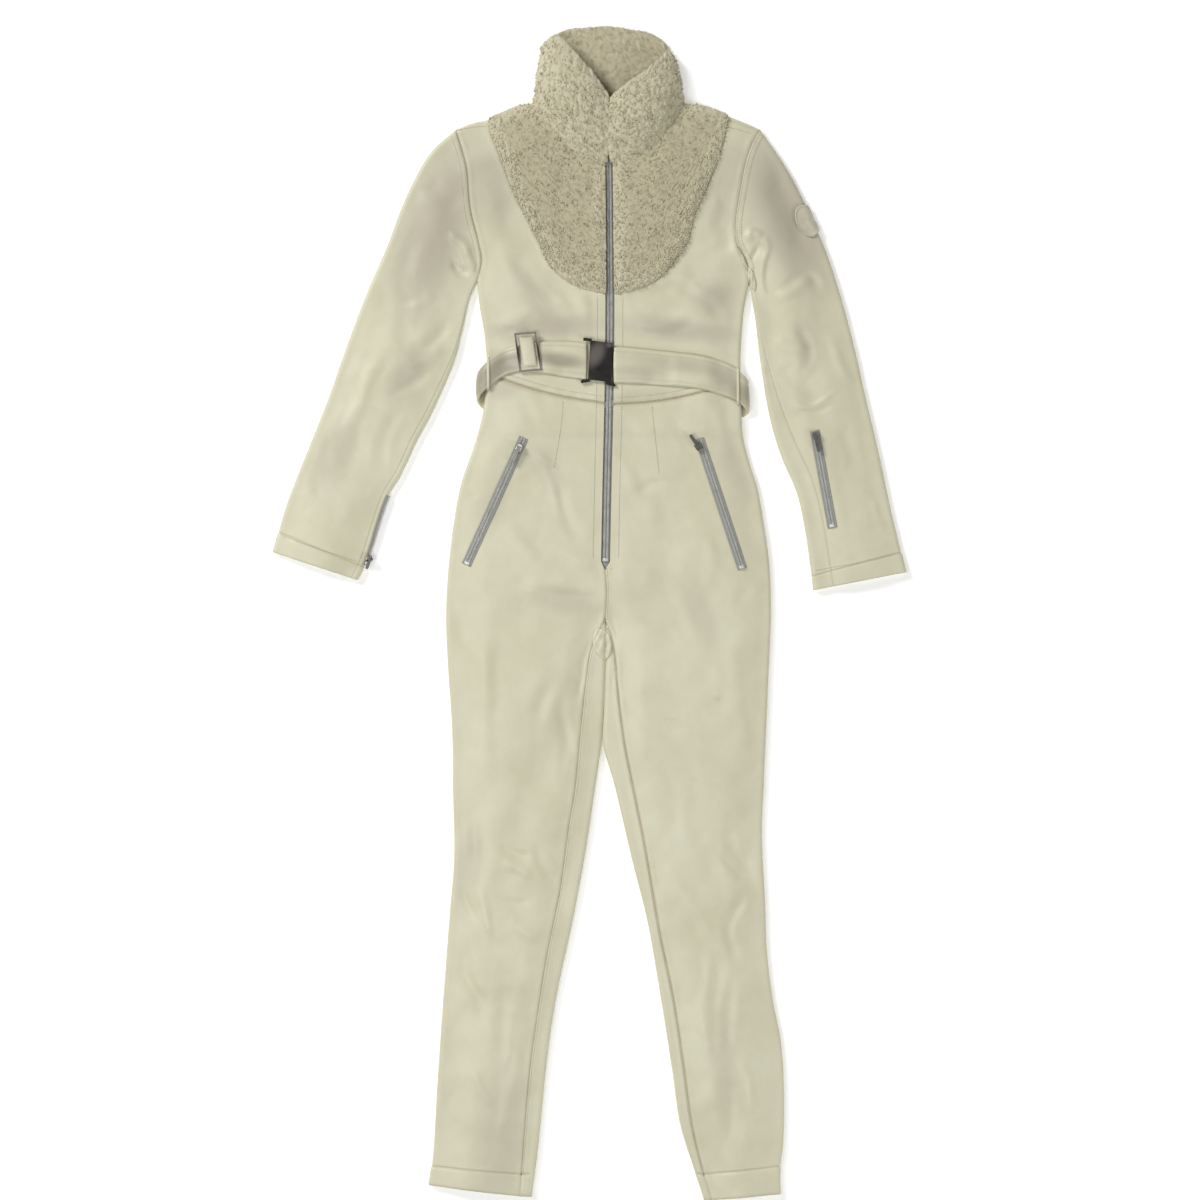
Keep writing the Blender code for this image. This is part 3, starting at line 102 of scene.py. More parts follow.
# ---- seams
ARMHOLE_L = [(456, 130), (462, 149), (467, 168), (471, 210), (479, 243), (482, 262), (477, 283)]
ARMHOLE_R = [(760, 130), (753, 142), (746, 161), (740, 190), (735, 225), (737, 246), (746, 264),
             (749, 284)]
NECK_L = [(536, 106), (543, 119), (561, 141), (579, 157), (604.4, 163)]
NECK_R = [(682, 106), (676, 119), (663, 137), (646, 157), (613.6, 163)]
BIB_SIDE_L = [(489, 120), (492, 135), (502, 160), (513, 190), (526, 215), (541, 245)]
BIB_FOOT_L = [(541, 245), (550, 264), (563, 278), (580, 287), (604.6, 293)]
BIB_SIDE_R = [(728, 117), (720, 150), (705, 190), (694, 214), (687, 241), (679, 254)]
BIB_FOOT_R = [(679, 254), (671, 265), (659, 278), (642, 287), (614.4, 294)]
WAIST_L = [(487, 372), (504, 380), (530, 389), (562, 397), (604.5, 404)]
WAIST_R = [(740.5, 376), (724, 384), (700, 393), (655, 402), (613.5, 405)]
ZIP_MID = [(609, 160), (609.8, 240), (609.9, 330), (609, 400), (607.2, 480), (605.6, 562)]
CENTRE_SEAM = [(605, 568), (606.6, 590), (605, 620)]
INSEAM_L = [(605, 620), (599, 632), (591, 650), (586, 682), (581, 728), (575, 790), (569, 826),
            (560, 891), (547, 955), (539, 1005), (530, 1070), (524, 1140), (520, 1195)]
INSEAM_R = [(605, 620), (611, 634), (615, 655), (619, 698), (625, 744), (632, 780), (646, 850),
            (659, 927), (674, 1000), (683, 1060), (692, 1124), (702, 1166), (711, 1199)]
HEM_END = {"l": ((429, 1184), (532, 1196)), "r": ((780, 1193), (704, 1200))}
WAIST_Y = {"l": (283, 372), "r": (284, 376)}     # underarm and waist on each side line

# ---- folds of the top cloth: three points x, y along its ridge or trough, half widths on the left
# and the right of its direction (plan units), height in mm
FOLDS = [
    (486, 262, 515, 296, 545, 330, 26, 26, 1.6), (560, 300, 541, 316, 520, 335, 22, 22, -1.4),
    (738, 262, 714, 291, 690, 320, 26, 26, 1.4), (655, 305, 672, 320, 690, 338, 22, 22, -1.2),
    (440, 170, 432, 235, 425, 300, 22, 22, 1.6), (395, 290, 383, 335, 372, 380, 20, 20, -1.4),
    (768, 200, 779, 265, 790, 330, 20, 20, 1.4), (815, 330, 811, 375, 808, 420, 18, 18, -1.4),
    (350, 400, 340, 450, 330, 500, 18, 18, 1.0), (850, 430, 860, 480, 868, 530, 18, 18, 1.0),
    (530, 640, 517, 720, 505, 800, 26, 26, 1.4), (690, 620, 698, 710, 706, 800, 28, 28, 1.4),
    (540, 760, 520, 830, 500, 900, 22, 22, -1.2), (700, 830, 722, 890, 745, 950, 18, 18, -1.6),
    (735, 960, 725, 1040, 715, 1120, 20, 20, 1.4), (500, 960, 493, 1045, 485, 1130, 22, 22, 1.2),
]

# finer creases and puckers, as FOLDS
CREASES = [
    # chest and waist
    (494, 158, 498, 190, 512, 228, 15, 20, -2.6), (486, 214, 516, 244, 552, 272, 14, 16, -2.2),
    (492, 246, 520, 282, 552, 318, 14, 12, 2.2), (540, 276, 556, 292, 570, 320, 12, 9, -2.0),
    (486, 306, 500, 318, 518, 332, 9, 12, -1.6), (574, 296, 580, 310, 578, 330, 10, 12, 1.2),
    (716, 232, 722, 246, 716, 262, 10, 13, -2.4), (676, 262, 694, 280, 708, 300, 12, 12, 2.2),
    (684, 276, 704, 300, 722, 322, 9, 11, -2.2), (624, 294, 650, 292, 682, 283, 9, 12, -1.8),
    (640, 318, 664, 322, 690, 318, 11, 10, 1.5), (722, 196, 712, 214, 700, 236, 12, 12, 1.6),
    (520, 392, 532, 404, 546, 430, 10, 10, -1.6), (662, 418, 684, 440, 712, 464, 11, 12, -1.8),
    (700, 400, 716, 416, 730, 440, 10, 10, 1.5), (496, 322, 548, 314, 600, 313, 13, 12, 2.0),
    (620, 314, 676, 320, 728, 332, 13, 12, 2.0),
    # underarms
    (448, 236, 463, 240, 474, 254, 7, 8, 4.4), (456, 258, 466, 266, 478, 266, 5, 6, -4.0),
    (466, 246, 474, 258, 479, 276, 5, 6, 3.6), (738, 250, 745, 239, 754, 246, 6, 8, 4.4),
    (745, 268, 751, 256, 762, 262, 5, 6, -3.6), (754, 246, 761, 268, 762, 300, 6, 9, 4.0),
    (728, 240, 738, 258, 744, 276, 6, 6, -2.0),
    # left sleeve
    (430, 176, 440, 196, 456, 214, 14, 16, -2.2), (404, 232, 408, 290, 398, 340, 12, 16, -2.0),
    (436, 290, 420, 306, 398, 314, 9, 10, 1.9), (452, 322, 432, 342, 406, 350, 8, 10, -2.4),
    (446, 344, 424, 362, 396, 366, 9, 9, 2.2), (430, 372, 412, 386, 392, 392, 8, 9, -1.8),
    (374, 356, 362, 398, 352, 436, 12, 12, 1.8), (404, 400, 386, 440, 372, 478, 9, 12, -1.8),
    (332, 430, 322, 466, 316, 506, 11, 12, -1.6),
    # right sleeve
    (768, 168, 786, 190, 806, 250, 18, 22, -2.0), (770, 304, 794, 292, 808, 282, 10, 9, 2.4),
    (780, 292, 800, 278, 822, 294, 8, 10, -2.0), (797, 326, 801, 352, 800, 378, 9, 9, -2.2),
    (772, 340, 786, 352, 802, 356, 8, 9, 2.0), (778, 366, 796, 378, 820, 378, 8, 8, -1.9),
    (830, 340, 840, 366, 846, 392, 10, 12, 1.8), (796, 398, 814, 402, 834, 394, 5, 6, 1.8),
    (798, 408, 814, 411, 832, 406, 4, 5, -1.6), (840, 420, 850, 450, 854, 480, 10, 10, -1.5),
    (870, 500, 878, 520, 884, 540, 8, 10, 1.4),
    # hips and belly
    (464, 494, 474, 496, 488, 488, 9, 9, -2.2), (530, 440, 542, 470, 560, 506, 9, 11, 2.0),
    (541, 468, 552, 488, 564, 504, 7, 7, -1.8), (556, 488, 570, 512, 584, 544, 14, 12, -2.0),
    (536, 590, 566, 594, 600, 604, 14, 11, -2.6), (560, 545, 576, 554, 597, 570, 9, 10, 1.8),
    (500, 530, 524, 544, 548, 552, 12, 14, 1.6), (634, 498, 650, 484, 668, 478, 9, 10, -2.0),
    (622, 470, 640, 500, 652, 530, 13, 13, 1.3), (734, 492, 744, 500, 756, 512, 9, 9, -2.0),
    (736, 606, 746, 592, 753, 574, 9, 9, -1.8), (700, 540, 712, 562, 716, 590, 13, 14, 1.4),
    # crotch
    (609, 612, 612, 640, 617, 700, 4, 8, -3.4), (590, 634, 586, 664, 580, 700, 5, 6, -2.0),
    (596, 640, 603, 631, 610, 640, 4, 5, 2.6), (600, 650, 606, 644, 610, 655, 2.6, 3, 1.8),
    (593, 640, 600, 650, 606, 658, 3, 3, -2.2), (556, 676, 546, 698, 536, 724, 10, 12, -1.8),
    (566, 690, 562, 730, 564, 772, 9, 9, -1.6), (620, 640, 632, 676, 640, 712, 11, 13, -1.2),
    # left leg
    (493, 610, 484, 700, 480, 794, 16, 16, 1.8), (486, 806, 478, 834, 472, 868, 8, 10, -2.0),
    (496, 848, 516, 853, 540, 850, 8, 10, -2.2), (498, 868, 520, 866, 538, 874, 8, 8, 1.8),
    (540, 838, 550, 860, 558, 886, 7, 9, -2.0), (459, 884, 466, 900, 474, 922, 7, 8, -2.0),
    (478, 884, 486, 908, 494, 934, 9, 9, 2.0), (512, 916, 528, 922, 544, 934, 9, 9, 1.4),
    (504, 900, 520, 900, 534, 896, 6, 7, -1.4), (468, 950, 478, 990, 478, 1030, 10, 12, -1.6),
    (512, 970, 500, 1020, 496, 1070, 11, 13, -1.4), (470, 1070, 482, 1090, 500, 1100, 9, 9, 1.4),
    (520, 1040, 516, 1080, 508, 1130, 9, 10, 1.4),
    # right leg
    (727, 822, 736, 850, 760, 894, 9, 12, -3.0), (722, 850, 732, 866, 744, 884, 8, 8, -2.2),
    (752, 830, 757, 846, 761, 862, 6, 6, 2.2), (744, 892, 734, 918, 746, 956, 9, 9, -2.8),
    (756, 906, 758, 930, 760, 952, 6, 6, 1.8), (746, 958, 736, 1000, 732, 1050, 10, 10, -2.0),
    (712, 946, 708, 1000, 704, 1060, 13, 13, 1.8), (690, 880, 704, 900, 716, 930, 12, 12, 1.4),
    (738, 1050, 748, 1080, 752, 1120, 9, 9, 1.6), (712, 1080, 722, 1106, 724, 1146, 9, 10, -1.5),
    (676, 760, 684, 800, 686, 850, 14, 14, 1.2), (736, 640, 744, 700, 744, 770, 12, 14, 1.4),
]


def metres(points: Sequence | Array) -> Array:
    """Plan units to metres, with the collar towards +Y.

    Args:
        points: (x, y) pairs in plan units.
    Returns:
        The same points in metres.
    """
    p = np.asarray(points, float)
    return np.stack([(p[..., 0] - MID_X) * UNIT, (MID_Y - p[..., 1]) * UNIT], -1)


def soft(x: Array) -> Array:
    """0 to 1 with level ends: 3x squared less 2x cubed."""
    x = np.clip(x, 0, 1)
    return x * x * (3 - 2 * x)


def bump(x: Array) -> Array:
    """A rounded hump: 1 at 0, level there, and 0 from 1 on."""
    return soft(1 - np.abs(x))


def unit(v: Array) -> Array:
    """Vectors scaled to length 1."""
    return v / np.maximum(np.linalg.norm(v, axis=-1)[..., None], 1e-12)


# ---- noise on the plan

DRIFT_CELLS, CURL_CELLS = 61, 89


def drift(p: Array, size: float, seed: int) -> Array:
    """Soft noise from -1 to 1: random heights on a square lattice, blended between its corners."""
    table = np.random.default_rng(seed).uniform(-1, 1, (DRIFT_CELLS, DRIFT_CELLS))
    q = p / size + 17.3
    cell = np.floor(q).astype(int)
    f = q - cell
    w = soft(f)
    x, y = cell[..., 0] % DRIFT_CELLS, cell[..., 1] % DRIFT_CELLS
    x1, y1 = (x + 1) % DRIFT_CELLS, (y + 1) % DRIFT_CELLS
    low = table[x, y] * (1 - w[..., 0]) + table[x1, y] * w[..., 0]
    high = table[x, y1] * (1 - w[..., 0]) + table[x1, y1] * w[..., 0]
    return low * (1 - w[..., 1]) + high * w[..., 1]


def curls(p: Array, size: float, seed: int, lean: float = 0.35) -> Array:
    """Rounded lumps on a jittered lattice, as curled pile has.

    Each lump is a dome about its own centre, tilted its own way; the highest one shows.
    Args:
        p: places on the surface.
        size: lattice spacing.
        seed: picks the lattice.
        lean: how strongly each lump tilts.
    Returns:
        Height from 0 to about 1.
    """
    n = CURL_CELLS
    table = np.random.default_rng(seed).uniform(0, 1, (n, n, 5))
    q = p / size + 31.7
    cell = np.floor(q).astype(int)
    best = np.full(p.shape[:-1], 0.22)
    for dx in (-1, 0, 1):
        for dy in (-1, 0, 1):
            corner = cell + [dx, dy]
            seeds = table[corner[..., 0] % n, corner[..., 1] % n]
            offset = q - corner - (0.1 + 0.8 * seeds[..., :2])
            turn = seeds[..., 2] * 2 * math.pi
            way = np.stack([np.cos(turn), np.sin(turn)], -1)
            run = (offset * way).sum(-1)
            cross = offset[..., 0] * way[..., 1] - offset[..., 1] * way[..., 0]
            radius = 0.70 + 0.28 * seeds[..., 3]
            reach = (run / 1.25) ** 2 + (cross / 0.85) ** 2
            dome = np.sqrt(np.clip(1 - reach / radius ** 2, 0, 1))
            height = dome * (0.6 + 0.4 * seeds[..., 4]) * (1 + lean * run / radius)
            best = np.maximum(best, height)
    return best


# ---- lines

@dataclass(frozen=True)
class Line:
    """A dense soft line on the plan, in metres."""

    points: Array

    @classmethod
    def through(cls, table: Sequence, step: float = 2.0) -> "Line":
        """A centripetal spline through points given in plan units.

        Args:
            table: (x, y) points in plan units.
            step: spacing of the dense points in plan units.
        Returns:
            The line.
        """
        p = np.array(table, float)
        p = np.vstack([2 * p[0] - p[1], p, 2 * p[-1] - p[-2]])
        out = []
        for i in range(1, len(p) - 2):
            a, b, c, d = p[i - 1:i + 3]
            t1 = math.sqrt(np.linalg.norm(b - a))
            t2 = t1 + math.sqrt(np.linalg.norm(c - b))
            t3 = t2 + math.sqrt(np.linalg.norm(d - c))
            count = max(1, round(np.linalg.norm(c - b) / step))
            t = np.linspace(t1, t2, count, endpoint=False)[:, None]
            ab = (t1 - t) / t1 * a + t / t1 * b
            bc = (t2 - t) / (t2 - t1) * b + (t - t1) / (t2 - t1) * c
            cd = (t3 - t) / (t3 - t2) * c + (t - t2) / (t3 - t2) * d
            abc = (t2 - t) / t2 * ab + t / t2 * bc
            bcd = (t3 - t) / (t3 - t1) * bc + (t - t1) / (t3 - t1) * cd
            out.append((t2 - t) / (t2 - t1) * abc + (t - t1) / (t2 - t1) * bcd)
        out.append(p[-2:-1])
        return cls(metres(np.vstack(out)))

    @property
    def runs(self) -> Array:
        """Length from the start to each point."""
        gaps = np.linalg.norm(np.diff(self.points, axis=0), axis=1)
        return np.concatenate([[0], np.cumsum(gaps)])

    @property
    def length(self) -> float:
        """The whole length."""
        return float(self.runs[-1])

    def at(self, run: Array) -> Array:
        """Points so far along the line."""
        r = self.runs
        return np.stack([np.interp(run, r, self.points[:, k]) for k in (0, 1)], -1)

    def walk(self, shares: Array) -> Array:
        """Points at shares of the length."""
        return self.at(np.asarray(shares, float) * self.length)

    def at_y(self, ys: Array) -> Array:
        """Points of a line that runs down the plan, at plan heights."""
        y = (MID_Y - np.asarray(ys, float)) * UNIT
        return np.stack([np.interp(-y, -self.points[:, 1], self.points[:, 0]), y], -1)

    def between(self, y0: float, y1: float) -> "Line":
        """The piece of a line that runs down the plan between two plan heights."""
        ends = self.at_y([y0, y1])
        inside = (self.points[:, 1] < ends[0, 1] - 1e-6) & (self.points[:, 1] > ends[1, 1] + 1e-6)
        return Line(np.vstack([ends[:1], self.points[inside], ends[1:]]))

    def plus(self, other: "Line") -> "Line":
        """This line with another that goes on from its end."""
        return Line(np.vstack([self.points, other.points[1:]]))

    def nearest(self, p: Array, reach: float) -> tuple[Array, Array]:
        """Distance of points from the line, positive on its left, and length along it.

        Args:
            p: plan points in metres.
            reach: distances beyond this are given as this.
        Returns:
            Signed distances, and lengths along the line.
        """
        flat = p.reshape(-1, 2)
        distance, run = np.full(len(flat), reach), np.zeros(len(flat))
        lo, hi = self.points.min(0) - reach, self.points.max(0) + reach
        close = np.flatnonzero(((flat > lo) & (flat < hi)).all(1))
        a, b = self.points[:-1], self.points[1:]
        way = b - a
        size = np.linalg.norm(way, axis=1)
        runs = self.runs
        for part in np.array_split(close, max(1, len(close) * len(self.points) // 3_000_000)):
            if not len(part):
                continue
            q = flat[part]
            square = (q ** 2).sum(1)[:, None] - 2 * q @ self.points.T + (self.points ** 2).sum(1)
            near = square.argmin(1)
            gap = np.full(len(q), 9.0)
            for shift in (-1, 0):
                k = np.clip(near + shift, 0, len(a) - 1)
                t = np.clip(((q - a[k]) * way[k]).sum(1) / size[k] ** 2, 0, 1)
                foot = q - a[k] - t[:, None] * way[k]
                d = np.linalg.norm(foot, axis=1)
                side = np.sign(way[k, 0] * foot[:, 1] - way[k, 1] * foot[:, 0] + 1e-15)
                better = d < np.abs(gap)
                gap = np.where(better, d * side, gap)
                run[part] = np.where(better, runs[k] + t * size[k], run[part])
            distance[part] = np.where(np.abs(gap) < reach, gap, reach)
        return distance.reshape(p.shape[:-1]), run.reshape(p.shape[:-1])


LINES = {name: Line.through(points) for name, points in (
    ("shoulder_l", SHOULDER_L), ("out_l", SLEEVE_OUT_L), ("in_l", SLEEVE_IN_L),
    ("side_l", SIDE_L), ("inner_l", INNER_L), ("inner_r", INNER_R), ("side_r", SIDE_R),
    ("in_r", SLEEVE_IN_R), ("out_r", SLEEVE_OUT_R), ("shoulder_r", SHOULDER_R),
    ("arm_l", ARMHOLE_L), ("arm_r", ARMHOLE_R), ("neck_l", NECK_L), ("neck_r", NECK_R),
    ("bib_side_l", BIB_SIDE_L), ("bib_foot_l", BIB_FOOT_L), ("bib_side_r", BIB_SIDE_R),
    ("bib_foot_r", BIB_FOOT_R), ("waist_l", WAIST_L), ("waist_r", WAIST_R), ("zip", ZIP_MID),
    ("centre", CENTRE_SEAM), ("inseam_l", INSEAM_L), ("inseam_r", INSEAM_R))}
FOLDED = ("shoulder_l", "out_l", "in_l", "side_l", "inner_l", "inner_r", "side_r", "in_r",
          "out_r", "shoulder_r")


class Skin:
    """The suit's outer face as a height over its plan, above and below.

    Above, a folded edge is a quarter circle of EDGE_R, and the cloth then rises by a crown, its
    folds, its seams' dips and slow waves. Below, it lies flat on the floor.
    """

    def __init__(self) -> None:
        """Prepares the folds' own lines."""
        self.folds = self.prepared(FOLDS)
        self.creases = self.prepared(CREASES)

    @staticmethod
    def prepared(table: Sequence) -> list[tuple[Line, float, float, float]]:
        """The folds' lines, half widths and heights, in metres."""
        return [(Line.through(np.reshape(places, (3, 2))), left * UNIT, right * UNIT, rise * MM)
                for *places, left, right, rise in table]

    def edge(self, p: Array) -> Array:
        """Distance from the nearest folded edge, up to the crown's run."""
        best = np.full(p.shape[:-1], EDGE_R + CROWN_RUN)
        for name in FOLDED:
            best = np.minimum(best, np.abs(LINES[name].nearest(p, EDGE_R + CROWN_RUN)[0]))
        return best

    def lift(self, p: Array) -> Array:
        """What the belt's back stretch raises both layers by."""
        y = MID_Y - p[..., 1] / UNIT
        return (BELT_RISE * soft((42 - abs(y - BELT_BACK_Y)) / 14)
                * soft((0.205 - abs(p[..., 0] - BELT_BACK_X)) / 0.02))

    def fold_height(self, p: Array, folds: Sequence) -> Array:
        """Sum of the folds: each a hump across its line that fades at its two ends.

        Args:
            p: plan points.
            folds: lines with their half widths and heights.
        Returns:
            Height at each point.
        """
        height = np.zeros(p.shape[:-1])
        for line, left, right, rise in folds:
            d, run = line.nearest(p, max(left, right))
            across = bump(np.where(d > 0, d / left, d / right))
            share = run / line.length
            height += rise * across * soft(share * 3 + 0.2) * soft((1 - share) * 3 + 0.2)
        return height

    def seams(self, p: Array) -> Array:
        """Dips along the seams, with the turnings' low ridges beside them."""
        height = np.zeros(p.shape[:-1])
        for name, deep, ridge, wide in SEAM_FORMS:
            d, run = LINES[name].nearest(p, SEAM_REACH)
            d = np.abs(d)
            pucker = 1 + 0.5 * np.sin(run / 0.0042 + 2 * np.sin(run / 0.017))
            height -= deep * MM * np.exp(-(d / 0.0013) ** 2)
            height += ridge * MM * pucker * bump((d - wide) / 0.0042) * (d < SEAM_REACH - 0.0001)
        return height

    def relief(self, p: Array, distance: Array) -> Array:
        """Everything that the top cloth rises by over its folded edges."""
        bent = p + drift(p, 0.05, 5)[..., None] * 0.012
        waves = (1.6 * drift(bent, 0.058, 3) + 0.95 * drift(bent, 0.026, 4)
                 + 0.16 * drift(bent, 0.010, 6)) * MM + self.fold_height(bent, self.creases)
        inside = soft(distance / 0.02 - 0.2)
        return (CROWN * soft((distance - EDGE_R) / CROWN_RUN)
                + (self.fold_height(p, self.folds) + waves * calm(p)) * inside
                + self.seams(p) * soft(distance / 0.006))

    def points(self, plan: Array, top: Array) -> Array:
        """Outer points of the cloth over plan points.

        Args:
            plan: grid of plan points.
            top: 1 for the upper layer, -1 for the lower one.
        Returns:
            Points in space.
        """
        distance = self.edge(plan)
        out = np.clip((EDGE_R - distance) / EDGE_R, 0, 1)
        up = np.sqrt(1 - out ** 2)
        z = self.lift(plan) + EDGE_R * (1 + up * np.where(top > 0, 1, -1))
        above = np.broadcast_to(top, plan.shape[:-1]) > 0
        if above.any():
            z[above] += self.relief(plan[above], distance[above])
        return np.concatenate([plan, z[..., None]], -1)

    def frames(self, plan: Array) -> tuple[Array, Array]:
        """Points on the top cloth and their outward normals, from small steps either way."""
        e = 6e-4
        z = [self.points(plan + step, np.ones(1))[..., 2]
             for step in ([e, 0.0], [-e, 0.0], [0.0, e], [0.0, -e])]
        normal = np.stack([z[1] - z[0], z[3] - z[2], np.full_like(z[0], 2 * e)], -1)
        return self.points(plan, np.ones(1)), unit(normal)


# seam, depth of its dip (mm), height of the ridge beside it (mm), the ridge's distance (m)
SEAM_FORMS = [
    ("arm_l", 0.6, 0.45, 0.0045), ("arm_r", 0.6, 0.45, 0.0045),
    ("waist_l", 0.9, 0.9, 0.0052), ("waist_r", 0.9, 0.9, 0.0052),
    ("bib_side_l", 0.9, 0.3, 0.0040), ("bib_foot_l", 0.9, 0.3, 0.0040),
    ("bib_side_r", 0.9, 0.3, 0.0040), ("bib_foot_r", 0.9, 0.3, 0.0040),
    ("centre", 0.9, 0.3, 0.0035), ("inseam_l", 0.9, 0.4, 0.0040), ("inseam_r", 0.9, 0.4, 0.0040),
]
# places where hard pieces lie and the cloth stays calm: ends in plan units, half width
CALM = [((524, 438), (466, 565), 16), ((699, 439), (742, 569), 16), ((814, 431), (832, 528), 16),
        ((609, 160), (606, 570), 12), ((590, 362), (612, 362), 22)]


def calm(p: Array) -> Array:
    """1 where the cloth may wave, 0 beneath the zips and the buckle."""
    share = np.ones(p.shape[:-1])
    for a, b, wide in CALM:
        a, b = metres([a, b])
        t = np.clip(((p - a) @ (b - a)) / ((b - a) @ (b - a)), 0, 1)
        gap = np.linalg.norm(p - a - t[..., None] * (b - a), axis=-1)
        share = np.minimum(share, soft(gap / (wide * UNIT) - 0.5))
    return share


SKIN = Skin()


# ---- meshes

def grid_normals(grid: Array) -> Array:
    """Unit normals of a grid of points: the cross product of its two slopes."""
    return unit(np.cross(np.gradient(grid, axis=1), np.gradient(grid, axis=0)))


def put_mesh(name: str, points: Array, faces: Array, finish: bpy.types.Material,
             uv: Array | None = None, marks: dict[str, Array] | None = None) -> bpy.types.Object:
    """A smooth mesh object at the origin.

    Args:
        name: the object's name.
        points: (n, 3) vertices.
        faces: (m, 4) or (m, 3) vertex indices.
        finish: its material.
        uv: (n, 2) surface places in metres, if it has any.
        marks: point values to keep as attributes.
    Returns:
        The object, linked to the scene.
    """
    mesh = bpy.data.meshes.new(name)
    corners = faces.shape[1]
    mesh.vertices.add(len(points))
    mesh.vertices.foreach_set("co", np.ascontiguousarray(points, np.float32).ravel())
    mesh.loops.add(faces.size)
    mesh.loops.foreach_set("vertex_index", faces.astype(np.int32).ravel())
    mesh.polygons.add(len(faces))
    mesh.polygons.foreach_set("loop_start", np.arange(0, faces.size, corners, dtype=np.int32))
    mesh.update(calc_edges=True)
    mesh.polygons.foreach_set("use_smooth", np.ones(len(faces), bool))
    if uv is not None:
        layer = mesh.uv_layers.new(name="cloth")
        layer.data.foreach_set("uv", uv[faces.ravel()].astype(np.float32).ravel())
    for key, values in (marks or {}).items():
        kept = mesh.attributes.new(key, "FLOAT", "POINT")
        kept.data.foreach_set("value", values.astype(np.float32).ravel())
    mesh.materials.append(finish)
    made = bpy.data.objects.new(name, mesh)
    bpy.context.scene.collection.objects.link(made)
    return made


def perimeter(rows: int, cols: int) -> Array:
    """Indices round a grid, once."""
    index = np.arange(rows * cols).reshape(rows, cols)
    return np.concatenate([index[0], index[1:, -1], index[-1, -2::-1], index[-2:0:-1, 0]])


def shell_mesh(outer: Array, inner: Array, rings: int = 1, bulge: float = 0.5,
               lip: Array | None = None) -> tuple[Array, Array, Array]:
    """A closed body between two grids of the same size, with rounded rims.

    Ring k lies between the outer perimeter and the lip, or else the inner perimeter, on a half
    ellipse that stands out by bulge times the half thickness.
    Args:
        outer: the outer grid.
        inner: the inner grid.
        rings: rings of points round the rim.
        bulge: how far the rim stands out.
        lip: points round the rim where it meets what lies beside it.
    Returns:
        Vertices, quads, and the grid index each vertex came from.
    """
    rows, cols = outer.shape[:2]
    count = rows * cols
    o, i = outer.reshape(-1, 3), inner.reshape(-1, 3)
    rim = perimeter(rows, cols)
    back = np.arange(count).reshape(rows, cols)
    inward = np.zeros_like(back)
    inward[1:-1, 1:-1] = back[1:-1, 1:-1]
    r, c = np.divmod(rim, cols)
    inside = back[np.clip(r, 1, rows - 2), np.clip(c, 1, cols - 2)]
    out = unit(o[rim] - o[inside])
    foot = i[rim] if lip is None else lip
    middle, half = (o[rim] + foot) / 2, (o[rim] - foot) / 2
    thick = np.linalg.norm(half, axis=1)[:, None]
    extra, source = [], []
    for k in range(1, rings + 1):
        angle = math.pi * k / (rings + 1)
        extra.append(middle + half * math.cos(angle) + out * thick * bulge * math.sin(angle))
        source.append(rim)
    if lip is not None:
        extra.append(lip)
        source.append(rim)
    points = np.concatenate([o, i, *extra])
    index = np.arange(count).reshape(rows, cols)
    quads = np.stack([index[:-1, :-1], index[1:, :-1], index[1:, 1:], index[:-1, 1:]], -1)
    quads = quads.reshape(-1, 4)
    loops = [rim, *(2 * count + k * len(rim) + np.arange(len(rim)) for k in range(len(extra))),
             rim + count]
    sides = [np.stack([a, np.roll(a, -1), np.roll(b, -1), b], -1)
             for a, b in zip(loops, loops[1:])]
    faces = np.concatenate([quads, quads[:, ::-1] + count, *sides])
    return points, faces, np.concatenate([np.arange(count), np.arange(count), *source])


def turned_out(points: Array, faces: Array) -> Array:
    """The faces, all turned round if the body is inside out."""
    a, b, c = (points[faces[:, k]] for k in (0, 1, 2))
    volume = (a * np.cross(b, c)).sum()
    if faces.shape[1] == 4:
        volume += (a * np.cross(c, points[faces[:, 3]])).sum()
    return faces if volume > 0 else faces[:, ::-1]


def grid_uv(grid: Array) -> Array:
    """Surface places of a grid in metres: mean lengths along its rows and columns."""
    u = np.linalg.norm(np.diff(grid, axis=1), axis=2)
    v = np.linalg.norm(np.diff(grid, axis=0), axis=2)
    u = np.concatenate([np.zeros((len(grid), 1)), np.cumsum(u, 1)], 1)
    u = u - u[:, -1:] / 2
    v = np.concatenate([[0], np.cumsum(v.mean(1))])
    return np.stack([u, np.broadcast_to(v[:, None], u.shape)], -1)


def drawn_back(grid: Array, gap: float) -> Array:
    """A grid whose edges are moved in, so that neighbouring panels keep a seam's gap."""
    move = np.zeros_like(grid)
    every = slice(None)
    for edge, inner in (((0, every), (1, every)), ((-1, every), (-2, every)),
                        ((every, 0), (every, 1)), ((every, -1), (every, -2))):
        move[edge] += gap * unit(grid[inner] - grid[edge])
    return grid + move


def patch(left: Array, right: Array, head: Array, foot: Array, across: Array,
          fade: float = 1.0) -> Array:
    """Plan grid between four edges: rows run straight, bowed as the head and the foot are.

    Args:
        left: the rows' left ends.
        right: the rows' right ends.
        head: points of the head, one for each column.
        foot: points of the foot, one for each column.
        across: each row's shares from left to right.
        fade: how fast the bows die away.
    Returns:
        The grid of plan points.
    """
    span = np.linalg.norm(np.diff((left + right) / 2, axis=0), axis=1)
    v = np.concatenate([[0], np.cumsum(span)]) / span.sum()
    u = across[..., None]
    grid = left[:, None] * (1 - u) + right[:, None] * u
    bow_head = head - (head[0] * (1 - u[0]) + head[-1] * u[0])
    bow_foot = foot - (foot[0] * (1 - u[-1]) + foot[-1] * u[-1])
    v = v[:, None, None]
    return grid + (1 - v) ** fade * bow_head + v ** fade * bow_foot


